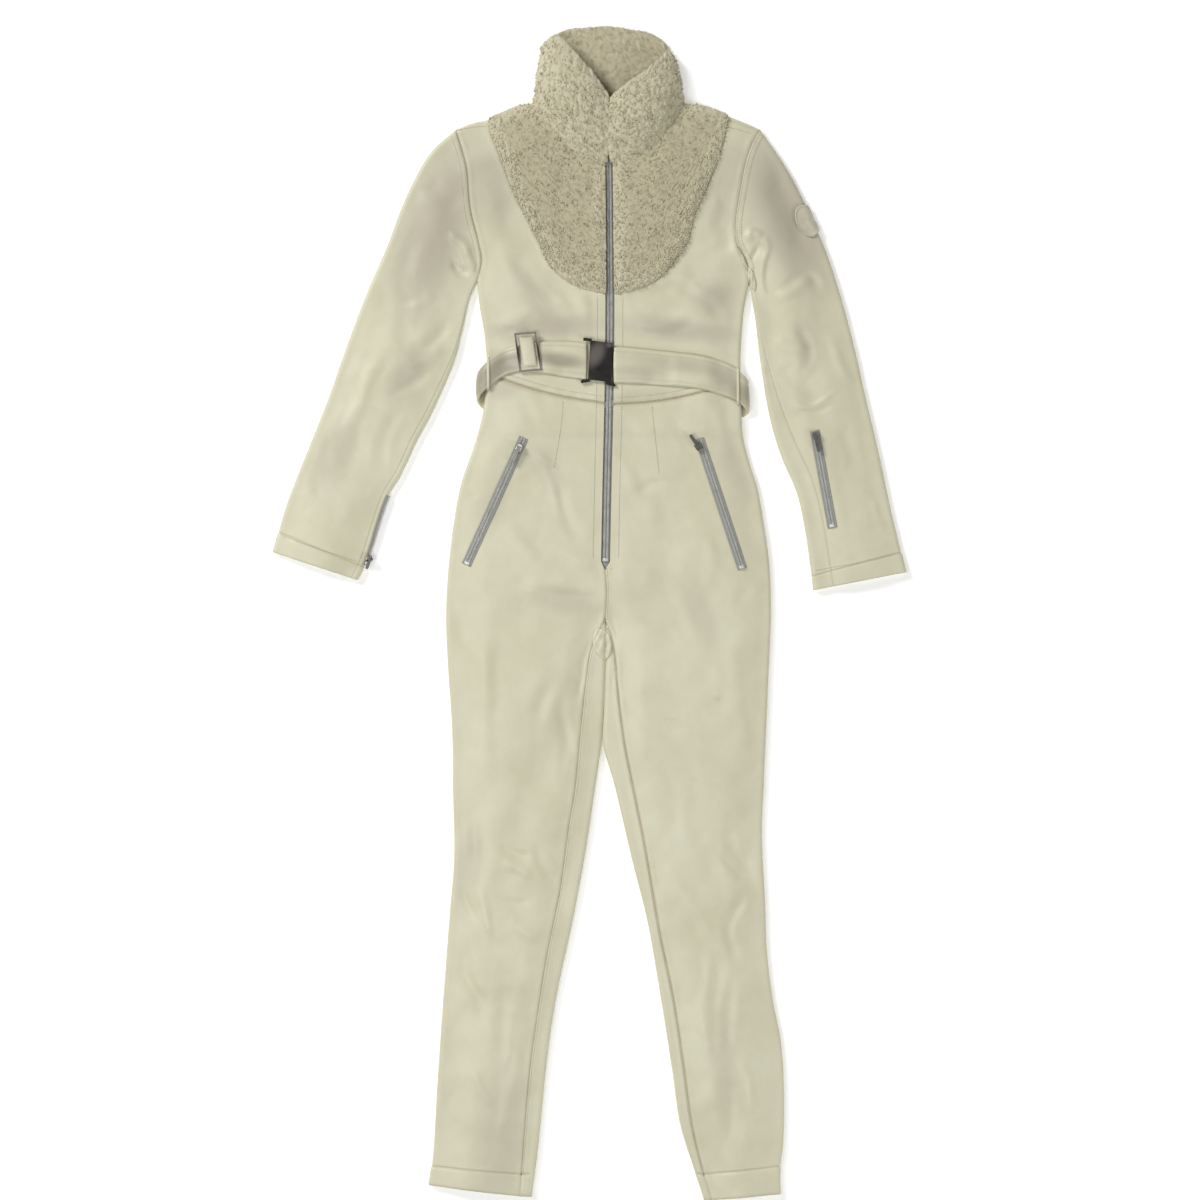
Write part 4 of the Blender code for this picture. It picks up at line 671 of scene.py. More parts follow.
def columns(width: Array, count: int, near: bool = True, far: bool = True) -> Array:
    """Shares across rows, close together near the ends: fine over a rolled edge or a seam.

    Args:
        width: each row's width.
        count: even steps between the fine ends.
        near: whether the near end is fine.
        far: whether the far end is fine.
    Returns:
        One row of shares for each width.
    """
    fine = np.array([0.0, 0.08, 0.22, 0.42, 0.68, 1.0, 1.4, 1.9]) * EDGE_R
    rows = []
    for w in np.atleast_1d(width):
        start = fine if near else np.zeros(1)
        end = w - fine[::-1] if far else np.array([w])
        rows.append(np.concatenate([start, np.linspace(start[-1], end[0], count + 1)[1:-1], end]) / w)
    return np.array(rows)


def widths(left: Array, right: Array) -> Array:
    """Distance between each row's two ends."""
    return np.linalg.norm(right - left, axis=-1)


def cloth_body(name: str, outer: Array, inner: Array, finish: bpy.types.Material,
               rim: tuple[int, float], dip: Array | None = None,
               place: Array | None = None) -> bpy.types.Object:
    """A closed body of cloth between two grids, never below the floor.

    Args:
        name: the object's name.
        outer: the outer grid.
        inner: the inner grid.
        finish: its material.
        rim: rings of points round the rim, and how far it stands out.
        dip: how much painted shade, with a little wear, each grid point takes.
        place: surface places of the grid, where they aren't the outer grid's own.
    Returns:
        The object.
    """
    points, faces, source = shell_mesh(outer, inner, *rim)
    points[:, 2] = np.maximum(points[:, 2], 0.0)
    place = grid_uv(outer) if place is None else place
    marks = None if dip is None else {"dip": dip.ravel()[source]}
    return put_mesh(name, points, turned_out(points, faces), finish,
                    place.reshape(-1, 2)[source], marks)


def bars(centres: Array, side: Array, up: Array, half: Array,
         tall: float = 1.0) -> tuple[Array, Array]:
    """Closed four-sided bars, each with a ring of four points about each of its centres.

    Args:
        centres: each bar's centres, from end to end.
        side: unit vectors across the bar.
        up: unit vectors up from the bar.
        half: half width of each ring.
        tall: the half height, as a share of the half width.
    Returns:
        Vertices and quads.
    """
    ring = np.array([(1, 0), (0, 1), (-1, 0), (0, -1)], float)
    wide, high = half[:, None] * ring[:, 0], half[:, None] * ring[:, 1] * tall
    points = (centres[:, :, None] + side[:, :, None] * wide[None, ..., None]
              + up[:, :, None] * high[None, ..., None])
    count, rings = centres.shape[:2]
    base = np.arange(4 * rings).reshape(rings, 4)
    quads = np.concatenate([np.stack([base[k], np.roll(base[k], -1), np.roll(base[k + 1], -1),
                                      base[k + 1]], -1) for k in range(rings - 1)]
                           + [base[:1, ::-1], base[-1:]])
    faces = quads[None] + 4 * rings * np.arange(count)[:, None, None]
    return points.reshape(-1, 3), faces.reshape(-1, 4)


# ---- finishes

class Value:
    """A shader socket that plain arithmetic works on; each operation adds its Math node."""

    def __init__(self, look: "Look", socket: bpy.types.NodeSocket) -> None:
        """Keeps the socket and the look it belongs to."""
        self.look, self.socket = look, socket

    def _math(self, operation: str, *values: "Value | float") -> "Value":
        """Adds one Math node over some values."""
        node = self.look.node("ShaderNodeMath", {"operation": operation},
                              dict(enumerate(values)))
        return Value(self.look, node.outputs[0])

    def __add__(self, other: "Value | float") -> "Value":
        """Sum."""
        return self._math("ADD", self, other)

    def __sub__(self, other: "Value | float") -> "Value":
        """Difference."""
        return self._math("SUBTRACT", self, other)

    def __rsub__(self, other: float) -> "Value":
        """Difference from a number."""
        return self._math("SUBTRACT", other, self)

    def __mul__(self, other: "Value | float") -> "Value":
        """Product."""
        return self._math("MULTIPLY", self, other)

    def __truediv__(self, other: "Value | float") -> "Value":
        """Quotient."""
        return self._math("DIVIDE", self, other)

    def __pow__(self, other: "Value | float") -> "Value":
        """Power."""
        return self._math("POWER", self, other)

    __radd__, __rmul__ = __add__, __mul__

    def least(self, other: "Value | float") -> "Value":
        """The smaller of two values."""
        return self._math("MINIMUM", self, other)

    def most(self, other: "Value | float") -> "Value":
        """The larger of two values."""
        return self._math("MAXIMUM", self, other)

    def step(self, low: float, high: float) -> "Value":
        """0 below low, 1 above high, soft between."""
        node = self.look.node("ShaderNodeMapRange", {"interpolation_type": "SMOOTHSTEP"},
                              {0: self, 1: low, 2: high, 3: 0.0, 4: 1.0})
        return Value(self.look, node.outputs[0])


Colour = tuple[float, float, float]


class Look:
    """One material: a Principled shader and the ways to feed it."""

    def __init__(self, name: str, **even: float) -> None:
        """Starts a material.

        Args:
            name: the material's name.
            even: the shader's own numbers, with spaces in their names as underscores.
        """
        self.material = bpy.data.materials.new(name)
        self.material.use_nodes = True
        self.tree = self.material.node_tree
        self.tree.nodes.clear()
        self.shader = self.node("ShaderNodeBsdfPrincipled")
        output = self.node("ShaderNodeOutputMaterial")
        self.tree.links.new(self.shader.outputs[0], output.inputs["Surface"])
        for key, number in even.items():
            self.shader.inputs[key.replace("_", " ")].default_value = number
        self.place = Value(self, self.node("ShaderNodeTexCoord").outputs["Object"])

    def node(self, kind: str, settings: dict | None = None,
             inputs: dict | None = None) -> bpy.types.Node:
        """Adds a node.

        Args:
            kind: its type.
            settings: its own settings, set first.
            inputs: values or links for its sockets, by name or number.
        Returns:
            The node.
        """
        made = self.tree.nodes.new(kind)
        for key, value in (settings or {}).items():
            setattr(made, key, value)
        for key, value in (inputs or {}).items():
            if isinstance(value, Value):
                self.tree.links.new(value.socket, made.inputs[key])
            elif isinstance(value, tuple) and len(value) == 3 and made.inputs[key].type == "RGBA":
                made.inputs[key].default_value = (*value, 1)
            else:
                made.inputs[key].default_value = value
        return made

    def scaled(self, by: Sequence[float], turn: float = 0.0) -> Value:
        """The piece's own places, stretched and turned about Z."""
        node = self.node("ShaderNodeMapping", None,
                         {"Vector": self.place, "Scale": tuple(by), "Rotation": (0, 0, turn)})
        return Value(self, node.outputs[0])

    def cloth_place(self, by: Sequence[float]) -> Value:
        """Places on the piece's own cloth, in stretched metres."""
        uv = Value(self, self.node("ShaderNodeUVMap", {"uv_map": "cloth"}).outputs[0])
        node = self.node("ShaderNodeMapping", None, {"Vector": uv, "Scale": tuple(by)})
        return Value(self, node.outputs[0])

    def noise(self, place: Value, scale: float, detail: float = 2.0,
              rough: float = 0.5) -> Value:
        """Soft noise, about 0.5 on average."""
        node = self.node("ShaderNodeTexNoise", None, {
            "Vector": place, "Scale": scale, "Detail": detail, "Roughness": rough})
        return Value(self, node.outputs[0])

    def bands(self, place: Value, scale: float, along: str, bent: float = 0.0) -> Value:
        """Even bands across X or Y, bent a little."""
        node = self.node("ShaderNodeTexWave", {"wave_type": "BANDS", "bands_direction": along},
                         {"Vector": place, "Scale": scale, "Distortion": bent})
        return Value(self, node.outputs["Fac"])

    def mark(self, name: str) -> Value:
        """A point value of the piece."""
        return Value(self, self.node("ShaderNodeAttribute", {"attribute_name": name})
                     .outputs["Fac"])

    def spot(self, x: float, y: float, long: float, wide: float, turn: float = 0.0) -> Value:
        """An oval patch on the plan: 1 in its middle, 0 from its edge.

        Args:
            x: its middle, in plan units.
            y: its middle, in plan units.
            long: half length in metres.
            wide: half width in metres.
            turn: its turn about Z.
        Returns:
            The patch's share.
        """
        px, py = metres([x, y])
        moved = self.node("ShaderNodeVectorMath", {"operation": "SUBTRACT"},
                          {0: self.place, 1: (px, py, 0.0)})
        turned = self.node("ShaderNodeVectorRotate", {"rotation_type": "Z_AXIS"},
                           {"Vector": Value(self, moved.outputs[0]), "Angle": -turn})
        flat = self.node("ShaderNodeVectorMath", {"operation": "MULTIPLY"},
                         {0: Value(self, turned.outputs[0]), 1: (1 / long, 1 / wide, 0.0)})
        size = self.node("ShaderNodeVectorMath", {"operation": "LENGTH"},
                         {0: Value(self, flat.outputs[0])})
        return 1 - Value(self, size.outputs["Value"]).step(0.2, 1.0)

    def mix(self, share: Value | float, a: Value | Colour, b: Value | Colour) -> Value:
        """Colour a where share is 0, b where it is 1."""
        node = self.node("ShaderNodeMix", {"data_type": "RGBA"}, {0: share, 6: a, 7: b})
        return Value(self, node.outputs[2])

    def relief(self, height: Value, distance: float, strength: float = 1.0) -> Value:
        """A bump whose height of 1 stands distance metres high."""
        node = self.node("ShaderNodeBump", None, {
            "Height": height, "Distance": distance, "Strength": strength})
        return Value(self, node.outputs[0])

    def put(self, **sockets: Value | float | Colour) -> bpy.types.Material:
        """Feeds the shader's sockets, and returns the material."""
        for key, value in sockets.items():
            socket = self.shader.inputs[key.replace("_", " ")]
            if isinstance(value, Value):
                self.tree.links.new(value.socket, socket)
            elif isinstance(value, tuple):
                socket.default_value = (*value, 1)
            else:
                socket.default_value = value
        return self.material


# stains: x, y (plan units), half length and width (m), turn, strength
STAINS = [(717, 698, 0.010, 0.006, 0.5, 0.30), (669, 720, 0.012, 0.007, 0.2, 0.22),
          (694, 779, 0.008, 0.006, 0.0, 0.20), (517, 602, 0.030, 0.018, 0.3, 0.10),
          (700, 712, 0.045, 0.020, 0.3, 0.08), (560, 560, 0.030, 0.016, 1.2, 0.06)]
# greyer places of the cloth, partly its own tone and partly painted shade: columns as in STAINS
GREY_AND_SHADE = ((436, 225, 0.175, 0.060, 1.22, 1.0), (786, 215, 0.150, 0.060, -1.20, 1.0),
        (500, 190, 0.085, 0.042, -1.3, 0.55), (722, 190, 0.080, 0.040, 1.35, 0.55),
        (408, 372, 0.060, 0.026, 1.0, 0.7), (335, 455, 0.085, 0.030, 1.2, 0.55),
        (540, 305, 0.080, 0.020, -0.95, 0.5), (548, 328, 0.105, 0.022, 0.08, 0.75),
        (676, 330, 0.105, 0.022, -0.12, 0.7), (712, 300, 0.042, 0.034, 0.4, 0.6),
        (805, 345, 0.055, 0.020, -1.3, 0.5), (805, 400, 0.040, 0.016, -1.3, 0.3),
        (505, 388, 0.040, 0.022, 0.2, 0.5), (640, 398, 0.080, 0.014, 0.1, 0.4),
        (494, 500, 0.080, 0.026, 1.2, 0.35), (548, 470, 0.060, 0.024, -1.0, 0.4),
        (735, 470, 0.060, 0.020, -1.3, 0.4), (700, 610, 0.080, 0.026, -1.3, 0.35),
        (740, 900, 0.090, 0.026, -1.4, 0.12), (500, 1130, 0.140, 0.050, 1.45, 0.4),
        (470, 860, 0.060, 0.026, 1.4, 0.4), (565, 600, 0.060, 0.026, -0.1, 0.45),
        (560, 715, 0.110, 0.022, 1.3, 0.3), (722, 1060, 0.110, 0.024, -1.5, 0.3))
# painted shade on the strap, where its satin turns from the light: columns as in STAINS
STRAP_SHADE = ((500, 368, 0.060, 0.024, 0.40, 1.0), (560, 361, 0.048, 0.015, -0.15, 0.95),
              (684, 366, 0.110, 0.015, -0.14, 0.40), (728, 385, 0.040, 0.020, -0.6, 0.6),
              (640, 372, 0.060, 0.012, -0.05, 0.35), (482, 385, 0.030, 0.024, 0.9, 0.8),
              (744, 395, 0.024, 0.020, 0.0, 0.6))


@dataclass(frozen=True)
class Softshell:
    """Bonded cream cloth: a smooth tight knit with a soft sheen, greyer places that are partly painted
    shade, and faint wear with painted shade in its dips.
    """

    name: str = "softshell"
    light: Colour = (0.755, 0.735, 0.55)
    deep: Colour = (0.68, 0.645, 0.46)
    # the colour of the greyer places, partly the cloth's own and partly painted shade
    grey: Colour = (0.53, 0.485, 0.37)
    # the colour of the stains, and of the painted shade in the dips
    stain_and_shade: Colour = (0.46, 0.37, 0.22)
    patches: tuple = GREY_AND_SHADE
    rough: float = 0.36

    def build(self) -> bpy.types.Material:
        """Makes the material: blotches, greyer places that are partly painted shade, stained places,
        painted shade with a little wear in the dips, and the knit.
        """
        look = Look(self.name, Sheen_Weight=0.15, Sheen_Roughness=0.4, Specular_IOR_Level=0.55)
        broad = look.noise(look.place, 9, 3, 0.6)
        fine = look.noise(look.place, 55, 4, 0.6)
        colour = look.mix((broad * 0.8 + fine * 0.35 - 0.08).step(0.2, 0.8), self.deep, self.light)
        for x, y, long, wide, turn, share in self.patches:
            # greyer places: partly the cloth's own tone, partly painted shade
            colour = look.mix(look.spot(x, y, long, wide, turn) * share, colour, self.grey)
        smear = look.noise(look.place, 130, 3, 0.7).step(0.3, 0.7)
        for x, y, long, wide, turn, share in STAINS:
            colour = look.mix(look.spot(x, y, long, wide, turn) * smear * share, colour, self.stain_and_shade)
        # painted shade in the dips of seams, grooves and creases, with a little wear
        colour = look.mix(look.mark("dip") * 0.55, colour, self.stain_and_shade)
        thread = look.cloth_place((1, 1, 1))
        knit = (look.bands(thread, 420, "X", 1.5) * 0.5 + look.bands(thread, 330, "Y", 1.5) * 0.5)
        height = knit * 0.6 + look.noise(look.place, 900, 2) * 0.7
        return look.put(Base_Color=colour, Roughness=fine * 0.14 + self.rough,
                        Normal=look.relief(height, 0.00012, 0.6))


@dataclass(frozen=True)
class Fleece:
    """Curly deep pile: pale tips, and painted shade between the curls over the roots' own yellower
    tone.
    """

    name: str = "fleece"
    tip: Colour = (0.70, 0.655, 0.475)
    # the low colours here and in the pile's short middle: the roots' yellower tone, darkened as
    # painted shade
    root_shade: Colour = (0.34, 0.285, 0.155)
    core_tip: Colour = (0.59, 0.54, 0.375)
    core_root_shade: Colour = (0.25, 0.20, 0.10)

    def build(self) -> bpy.types.Material:
        """Makes the material from the curls' own heights and fine fibres: painted shade low between
        the curls.
        """
        look = Look(self.name, Sheen_Weight=0.35, Sheen_Roughness=0.6, Specular_IOR_Level=0.15)
        fibre = look.noise(look.scaled((1, 1, 1)), 620, 3, 0.7)
        height = (look.mark("tuft") * 0.9 + fibre * 0.28 - 0.1).step(0.0, 0.85)
        # painted shade low between the curls, from their heights
        colour = look.mix(height, look.mix(look.mark("core"), self.root_shade, self.core_root_shade),
                          look.mix(look.mark("core"), self.tip, self.core_tip))
        patch_tone = look.noise(look.place, 24, 2).step(0.35, 0.7) * 0.18
        colour = look.mix(patch_tone, colour, (0.60, 0.53, 0.36))
        return look.put(Base_Color=colour, Roughness=0.95,
                        Normal=look.relief(fibre + look.noise(look.place, 1500, 2) * 0.5,
                                           0.0007, 0.9))


@dataclass(frozen=True)
class Metal:
    """A hard metal finish with fine rubbed marks, a little dirt, and painted reflections where given.
    """

    name: str
    colour: Colour
    dirt: Colour
    rough: float = 0.16
    marks: float = 0.12
    scale: float = 260
    metallic: float = 1.0
    painted_reflections: tuple = ()

    def build(self) -> bpy.types.Material:
        """Makes the material."""
        look = Look(self.name, Metallic=self.metallic)
        rub = look.noise(look.scaled((1, 0.12, 1), 0.3), self.scale, 3, 0.7)
        cloud = look.noise(look.place, 90, 3, 0.6)
        colour = look.mix(cloud.step(0.45, 0.8), self.colour, self.dirt)
        # painted reflections and glints: lighter or darker ovals on the plan
        for x, y, long, wide, turn, tone in self.painted_reflections:
            colour = look.mix(look.spot(x, y, long, wide, turn), colour, tone)
        return look.put(Base_Color=colour,
                        Roughness=rub * self.marks + cloud * self.marks + self.rough * 0.6,
                        Normal=look.relief(rub, 0.00003, 0.4))


@dataclass(frozen=True)
class Tape:
    """A zip's woven tape."""

    name: str = "zip_tape"
    colour: Colour = (0.50, 0.50, 0.465)
    deep: Colour = (0.27, 0.27, 0.25)

    def build(self) -> bpy.types.Material:
        """Makes the material: herringbone ribs along the tape."""
        look = Look(self.name, Sheen_Weight=0.2)
        place = look.cloth_place((1, 1, 1))
        rib = look.bands(place, 520, "X", 0.3) * 0.6 + look.bands(place, 430, "Y", 0.3) * 0.4
        dust = look.noise(look.place, 300, 3)
        return look.put(Base_Color=look.mix((rib * 0.7 + dust * 0.4).step(0.2, 0.9), self.deep,
                                            self.colour),
                        Roughness=0.75, Normal=look.relief(rib, 0.00025, 0.9))


@dataclass(frozen=True)
class Thread:
    """Twisted sewing thread."""

    name: str = "thread"
    colour: Colour = (0.70, 0.665, 0.50)

    def build(self) -> bpy.types.Material:
        """Makes the material: a slant twist."""
        look = Look(self.name, Sheen_Weight=0.3)
        twist = look.bands(look.scaled((1, 1, 1), 0.8), 900, "X", 0.5)
        return look.put(Base_Color=look.mix(twist, (0.56, 0.52, 0.37), self.colour),
                        Roughness=0.6, Normal=look.relief(twist, 0.0001, 0.5))


@dataclass(frozen=True)
class BareDisc:
    """The smooth bare face of the sleeve's raised disc."""

    name: str = "badge_face"
    colour: Colour = (0.64, 0.60, 0.47)

    def build(self) -> bpy.types.Material:
        """Makes the material: faintly clouded, satin."""
        look = Look(self.name, Specular_IOR_Level=0.5)
        cloud = look.noise(look.place, 140, 3)
        return look.put(Base_Color=look.mix(cloud.step(0.3, 0.8), self.colour, (0.56, 0.52, 0.40)),
                        Roughness=0.32 + cloud * 0.15,
                        Normal=look.relief(look.noise(look.place, 1200, 2), 0.00006, 0.4))


@dataclass
class Wardrobe:
    """Every finish, made once."""

    softshell: bpy.types.Material = field(default_factory=lambda: Softshell().build())
    # the strap: the same cloth, with painted shade in its greyer places
    strap: bpy.types.Material = field(default_factory=lambda: Softshell(
        "softshell_strap", grey=(0.40, 0.365, 0.275), patches=STRAP_SHADE, rough=0.28).build())
    fleece: bpy.types.Material = field(default_factory=lambda: Fleece().build())
    coil: bpy.types.Material = field(default_factory=lambda: Metal(
        "silver_coil", (0.74, 0.74, 0.71), (0.55, 0.55, 0.52), 0.42, metallic=0.3).build())
    bright: bpy.types.Material = field(default_factory=lambda: Metal(
        "bright_metal", (0.50, 0.49, 0.47), (0.24, 0.23, 0.21), 0.24).build())
    tab: bpy.types.Material = field(default_factory=lambda: Metal(
        "tab_metal", (0.25, 0.24, 0.225), (0.13, 0.125, 0.115), 0.42).build())
    # the buckle: dark, with a painted brown-grey reflection at its upper left and a small painted
    # glint
    mirror: bpy.types.Material = field(default_factory=lambda: Metal(
        "dark_mirror", (0.17, 0.16, 0.155), (0.10, 0.09, 0.09), 0.08, 0.06,
        painted_reflections=((596, 355, 0.026, 0.015, 1.1, (0.72, 0.64, 0.58)),
                (609, 346, 0.006, 0.005, 0.0, (0.60, 0.58, 0.55)))).build())
    # the keeper: bright, with a painted dark reflection across the middle of its bars
    loop: bpy.types.Material = field(default_factory=lambda: Metal(
        "keeper_metal", (0.78, 0.76, 0.72), (0.6, 0.58, 0.54), 0.2,
        painted_reflections=((528, 353, 0.060, 0.021, 0.0, (0.17, 0.155, 0.145)),)).build())
    tape: bpy.types.Material = field(default_factory=lambda: Tape().build())
    thread: bpy.types.Material = field(default_factory=lambda: Thread().build())
    disc: bpy.types.Material = field(default_factory=lambda: BareDisc().build())


def settle(piece: bpy.types.Object, slot: str, *nodes: str) -> bpy.types.Object:
    """A finished piece rides on the suit and stands for its CAD nodes."""
    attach(piece, "suit")
    if nodes:
        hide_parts(*nodes)
    log.info("%s: %d faces", piece.name, len(piece.data.polygons))
    return piece


class Side(Enum):
    """Left or right, as seen from above."""

    LEFT = "l"
    RIGHT = "r"

    @property
    def sign(self) -> int:
        """-1 on the left, 1 on the right."""
        return -1 if self is Side.LEFT else 1

    @property
    def word(self) -> str:
        """The side in node names."""
        return self.name.lower()

    def line(self, name: str) -> Line:
        """One of this side's lines."""
        return LINES[f"{name}_{self.value}"]


GROOVE_DEEP, GROOVE_SHADE = 0.0009, 0.55        # a groove that is wholly shaded, and its shade
DIP_HALF, DIP_REACH = 0.0012, 0.006             # half width of a seam's painted shade and wear, and its reach


@dataclass
class Sheet:
    """A cloth panel on the suit's skin.

    Its outer face is the skin's points over its plan grid; its inner face lies one wall inside,
    along the grid's normals; its rims are rounded.
    """

    name: str
    finish: bpy.types.Material
    flat: tuple[float, float]
    area: float

    def build(self, plan: Array, top: Array, wall: Array | float = WALL,
              proud: Array | float = 0.0, skin: Array | None = None) -> bpy.types.Object:
        """Args:
            plan: its grid on the plan.
            top: 1 above and -1 below, for each grid point.
            wall: its thickness.
            proud: how far its outer face stands off the skin.
            skin: its outer points, where they aren't the skin's own.
        Returns:
            The panel's object.
        """
        top = np.broadcast_to(top, plan.shape[:-1])
        outer = SKIN.points(plan, top) if skin is None else skin
        normal = grid_normals(outer)
        if (normal[..., 2] * top).sum() < 0:
            normal = -normal
        outer = outer + normal * np.broadcast_to(proud, top.shape)[..., None]
        inner = outer - normal * np.broadcast_to(wall, top.shape)[..., None]
        # painted shade in the hem's groove, and in the seams' dips
        sunk = GROOVE_SHADE * np.clip(-np.broadcast_to(proud, top.shape) / GROOVE_DEEP, 0, 1)
        dip = np.maximum(self.dips(plan, top), sunk)
        made = cloth_body(f"{self.name}_cloth", drawn_back(outer, SEAM), drawn_back(inner, SEAM),
                          self.finish, (2, 0.5), dip, grid_uv(outer))
        settle(made, "softshell", self.name)
        return made

    def dips(self, plan: Array, top: Array) -> Array:
        """How much painted shade, with a little wear, each point takes: most in the seams' dips."""
        wear_and_shade = np.zeros(plan.shape[:-1])
        for name, *_ in SEAM_FORMS:
            d, _ = LINES[name].nearest(plan, DIP_REACH)
            near = np.abs(d) < DIP_REACH - 0.0001
            wear_and_shade = np.maximum(wear_and_shade, np.exp(-(d / DIP_HALF) ** 2) * near)
        return wear_and_shade * (top > 0) * (0.75 + 0.25 * drift(plan, 0.02, 9))


def steps(length: float, spacing: float = SPACING) -> int:
    """How many even steps a length takes."""
    return max(2, round(length / spacing))


def closer(rows: Array, middle: float, reach: float, gap: float) -> Array:
    """Rows that stand closer together near one place.

    Args:
        rows: rising places of the rows.
        middle: the place.
        reach: how far to each side the rows are close.
        gap: their spacing there.
    Returns:
        The new rising places.
    """
    near = np.arange(middle - reach, min(middle + reach, rows[-1] - gap), gap)
    return np.concatenate([rows[rows < near[0] - gap / 2], near, rows[rows > near[-1] + gap / 2]])


@dataclass
class Sleeve:
    """One panel from the underarm seam over the top, round the outer edge and back below."""

    side: Side
    inset_far: float
    flat: tuple[float, float] = (0.30, 0.62)
    area: float = 0.130
    hem_from: float = 0.957
    hem_wall: float = 0.0034
    hem_proud: float = 0.0007
    groove: float = 0.0012

    def build(self, finish: bpy.types.Material) -> bpy.types.Object:
        """Makes the sleeve: straight rows from its outer to its inner edge, bowed to the armhole.

        Args:
            finish: its material.
        Returns:
            The sleeve.
        """
        out_line, in_line = self.side.line("out"), self.side.line("in")
        v = closer(np.linspace(0, 1, steps(out_line.length, SPACING * 1.15) + 1),
                   self.hem_from, 0.011, 0.0012)
        out, inn = out_line.walk(v), in_line.walk(v)
        seam = SEAM_INSET + (self.inset_far - SEAM_INSET) * soft(v / 0.6)
        across, top = self.columns(widths(out, inn), seam)
        u = across[..., None]
        bow = self.side.line("arm").walk(across[0]) - (out[0] * (1 - u[0]) + inn[0] * u[0])
        bowed = 1 - soft(v[:, None, None] / 0.45)
        plan = out[:, None] * (1 - u) + inn[:, None] * u + bowed * bow
        hem = soft((v - self.hem_from) / 0.008)[:, None] * np.ones_like(across)
        groove = np.exp(-((v - self.hem_from + 0.001) / 0.0019) ** 2)[:, None]
        proud = (self.hem_proud * hem - self.groove * groove) * (top > 0)
        sheet = Sheet(f"sleeve_{self.side.word}", finish, self.flat, self.area)
        return sheet.build(plan, top, WALL + (self.hem_wall - WALL) * hem, proud)

    @staticmethod
    def columns(w: Array, seam: Array) -> tuple[Array, Array]:
        """Shares across each row, once round the sleeve from its seam, and each column's layer.

        Args:
            w: each row's width.
            seam: the seam's distance from each row's inner end.
        Returns:
            The shares, fine over the folded edges, and 1 above or -1 below for each column.
        """
        fine = np.array([0.0, 0.06, 0.18, 0.36, 0.6, 1.0]) * EDGE_R
        roll = fine[:, None] * np.ones_like(w)
        over = np.linspace(w - seam, roll[-1], 44)[:-1]
        below = np.linspace(roll[-1], w - fine[-1], 16)[1:-1]
        wrap = np.linspace(w - fine[-1], w - seam, 7)[1:]
        parts = ((over, 1), (roll[::-1], 1), (roll[1:], -1), (below, -1), (w - roll[::-1], -1),
                 (w - roll[1:], 1), (wrap, 1))
        top = np.concatenate([np.full(len(part), float(layer)) for part, layer in parts])
        return (np.concatenate([part for part, _ in parts]) / w).T, top


def under_edge(edge: Array, xs: Array) -> Array:
    """Points of an edge that runs across the plan, at the given x."""
    order = np.argsort(edge[:, 0])
    return np.stack([xs, np.interp(xs, edge[order, 0], edge[order, 1])], -1)


def zip_edge(side: Side, y0: float, y1: float) -> Line:
    """The cloth's edge beside the front zip between two plan heights."""
    line = LINES["zip"].between(y0, y1)
    return Line(line.points + [side.sign * ZIP_HALF * UNIT, 0])


@dataclass
class BodiceFront:
    """From the armhole and the shoulder's edge to the fleece, the front zip and the waist."""

    side: Side
    flat: tuple[float, float] = (0.20, 0.37)
    area: float = 0.034

    def build(self, finish: bpy.types.Material) -> bpy.types.Object:
        """Makes the panel: rows from the armhole and flank to the fleece's edge and the zip.

        Args:
            finish: its material.
        Returns:
            The panel.
        """
        top_y, low_y = WAIST_Y[self.side.value]
        arm, flank = self.side.line("arm"), self.side.line("side").between(top_y, low_y)
        yoke = self.side.line("bib_side").plus(self.side.line("bib_foot"))
        front = zip_edge(self.side, *FRONT_Y)
        upper = np.linspace(0, 1, steps(arm.length) + 1)
        lower = np.linspace(0, 1, steps(flank.length) + 1)[1:]
        left = np.vstack([arm.walk(upper), flank.walk(lower)])
        right = np.vstack([yoke.walk(upper), front.walk(lower)])
        across = columns(widths(left, right), 46)
        head = under_edge(self.side.line("shoulder").points,
                          left[0, 0] + (right[0, 0] - left[0, 0]) * across[0])
        foot = self.side.line("waist").walk(across[-1])
        foot[0], foot[-1] = left[-1], right[-1]
        plan = patch(left, right, head, foot, across, 2.0)
        sheet = Sheet(f"bodice_front_{self.side.word}", finish, self.flat, self.area)
        return sheet.build(plan, np.ones(1))


@dataclass
class BodiceBack:
    """The whole back, flat on the floor, from the neck and shoulders to the waist."""

    flat: tuple[float, float] = (0.395, 0.347)
    area: float = 0.110
    neck: tuple = ((536, 109), (571, 118), (608, 119.5), (646, 118), (682, 109))

    def build(self, finish: bpy.types.Material) -> bpy.types.Object:
        """Makes the panel.

        Args:
            finish: its material.
        Returns:
            The panel.
        """
        ends = []
        for side in Side:
            top_y, low_y = WAIST_Y[side.value]
            flank = side.line("side").between(top_y, low_y)
            ends.append(np.vstack([side.line("arm").walk(np.linspace(0, 1, 50)),
                                   flank.walk(np.linspace(0, 1, 32)[1:])]))
        left, right = ends
        across = columns(widths(left, right), 60)
        edge = np.vstack([LINES["shoulder_l"].points[:0:-1], metres(self.neck),
                          LINES["shoulder_r"].points[1:]])
        head = under_edge(edge, left[0, 0] + (right[0, 0] - left[0, 0]) * across[0])
        foot = left[-1] * (1 - across[-1][:, None]) + right[-1] * across[-1][:, None]
        plan = patch(left, right, head, foot, across, 3.0)
        return Sheet("bodice_back", finish, self.flat, self.area).build(plan, -np.ones(1))


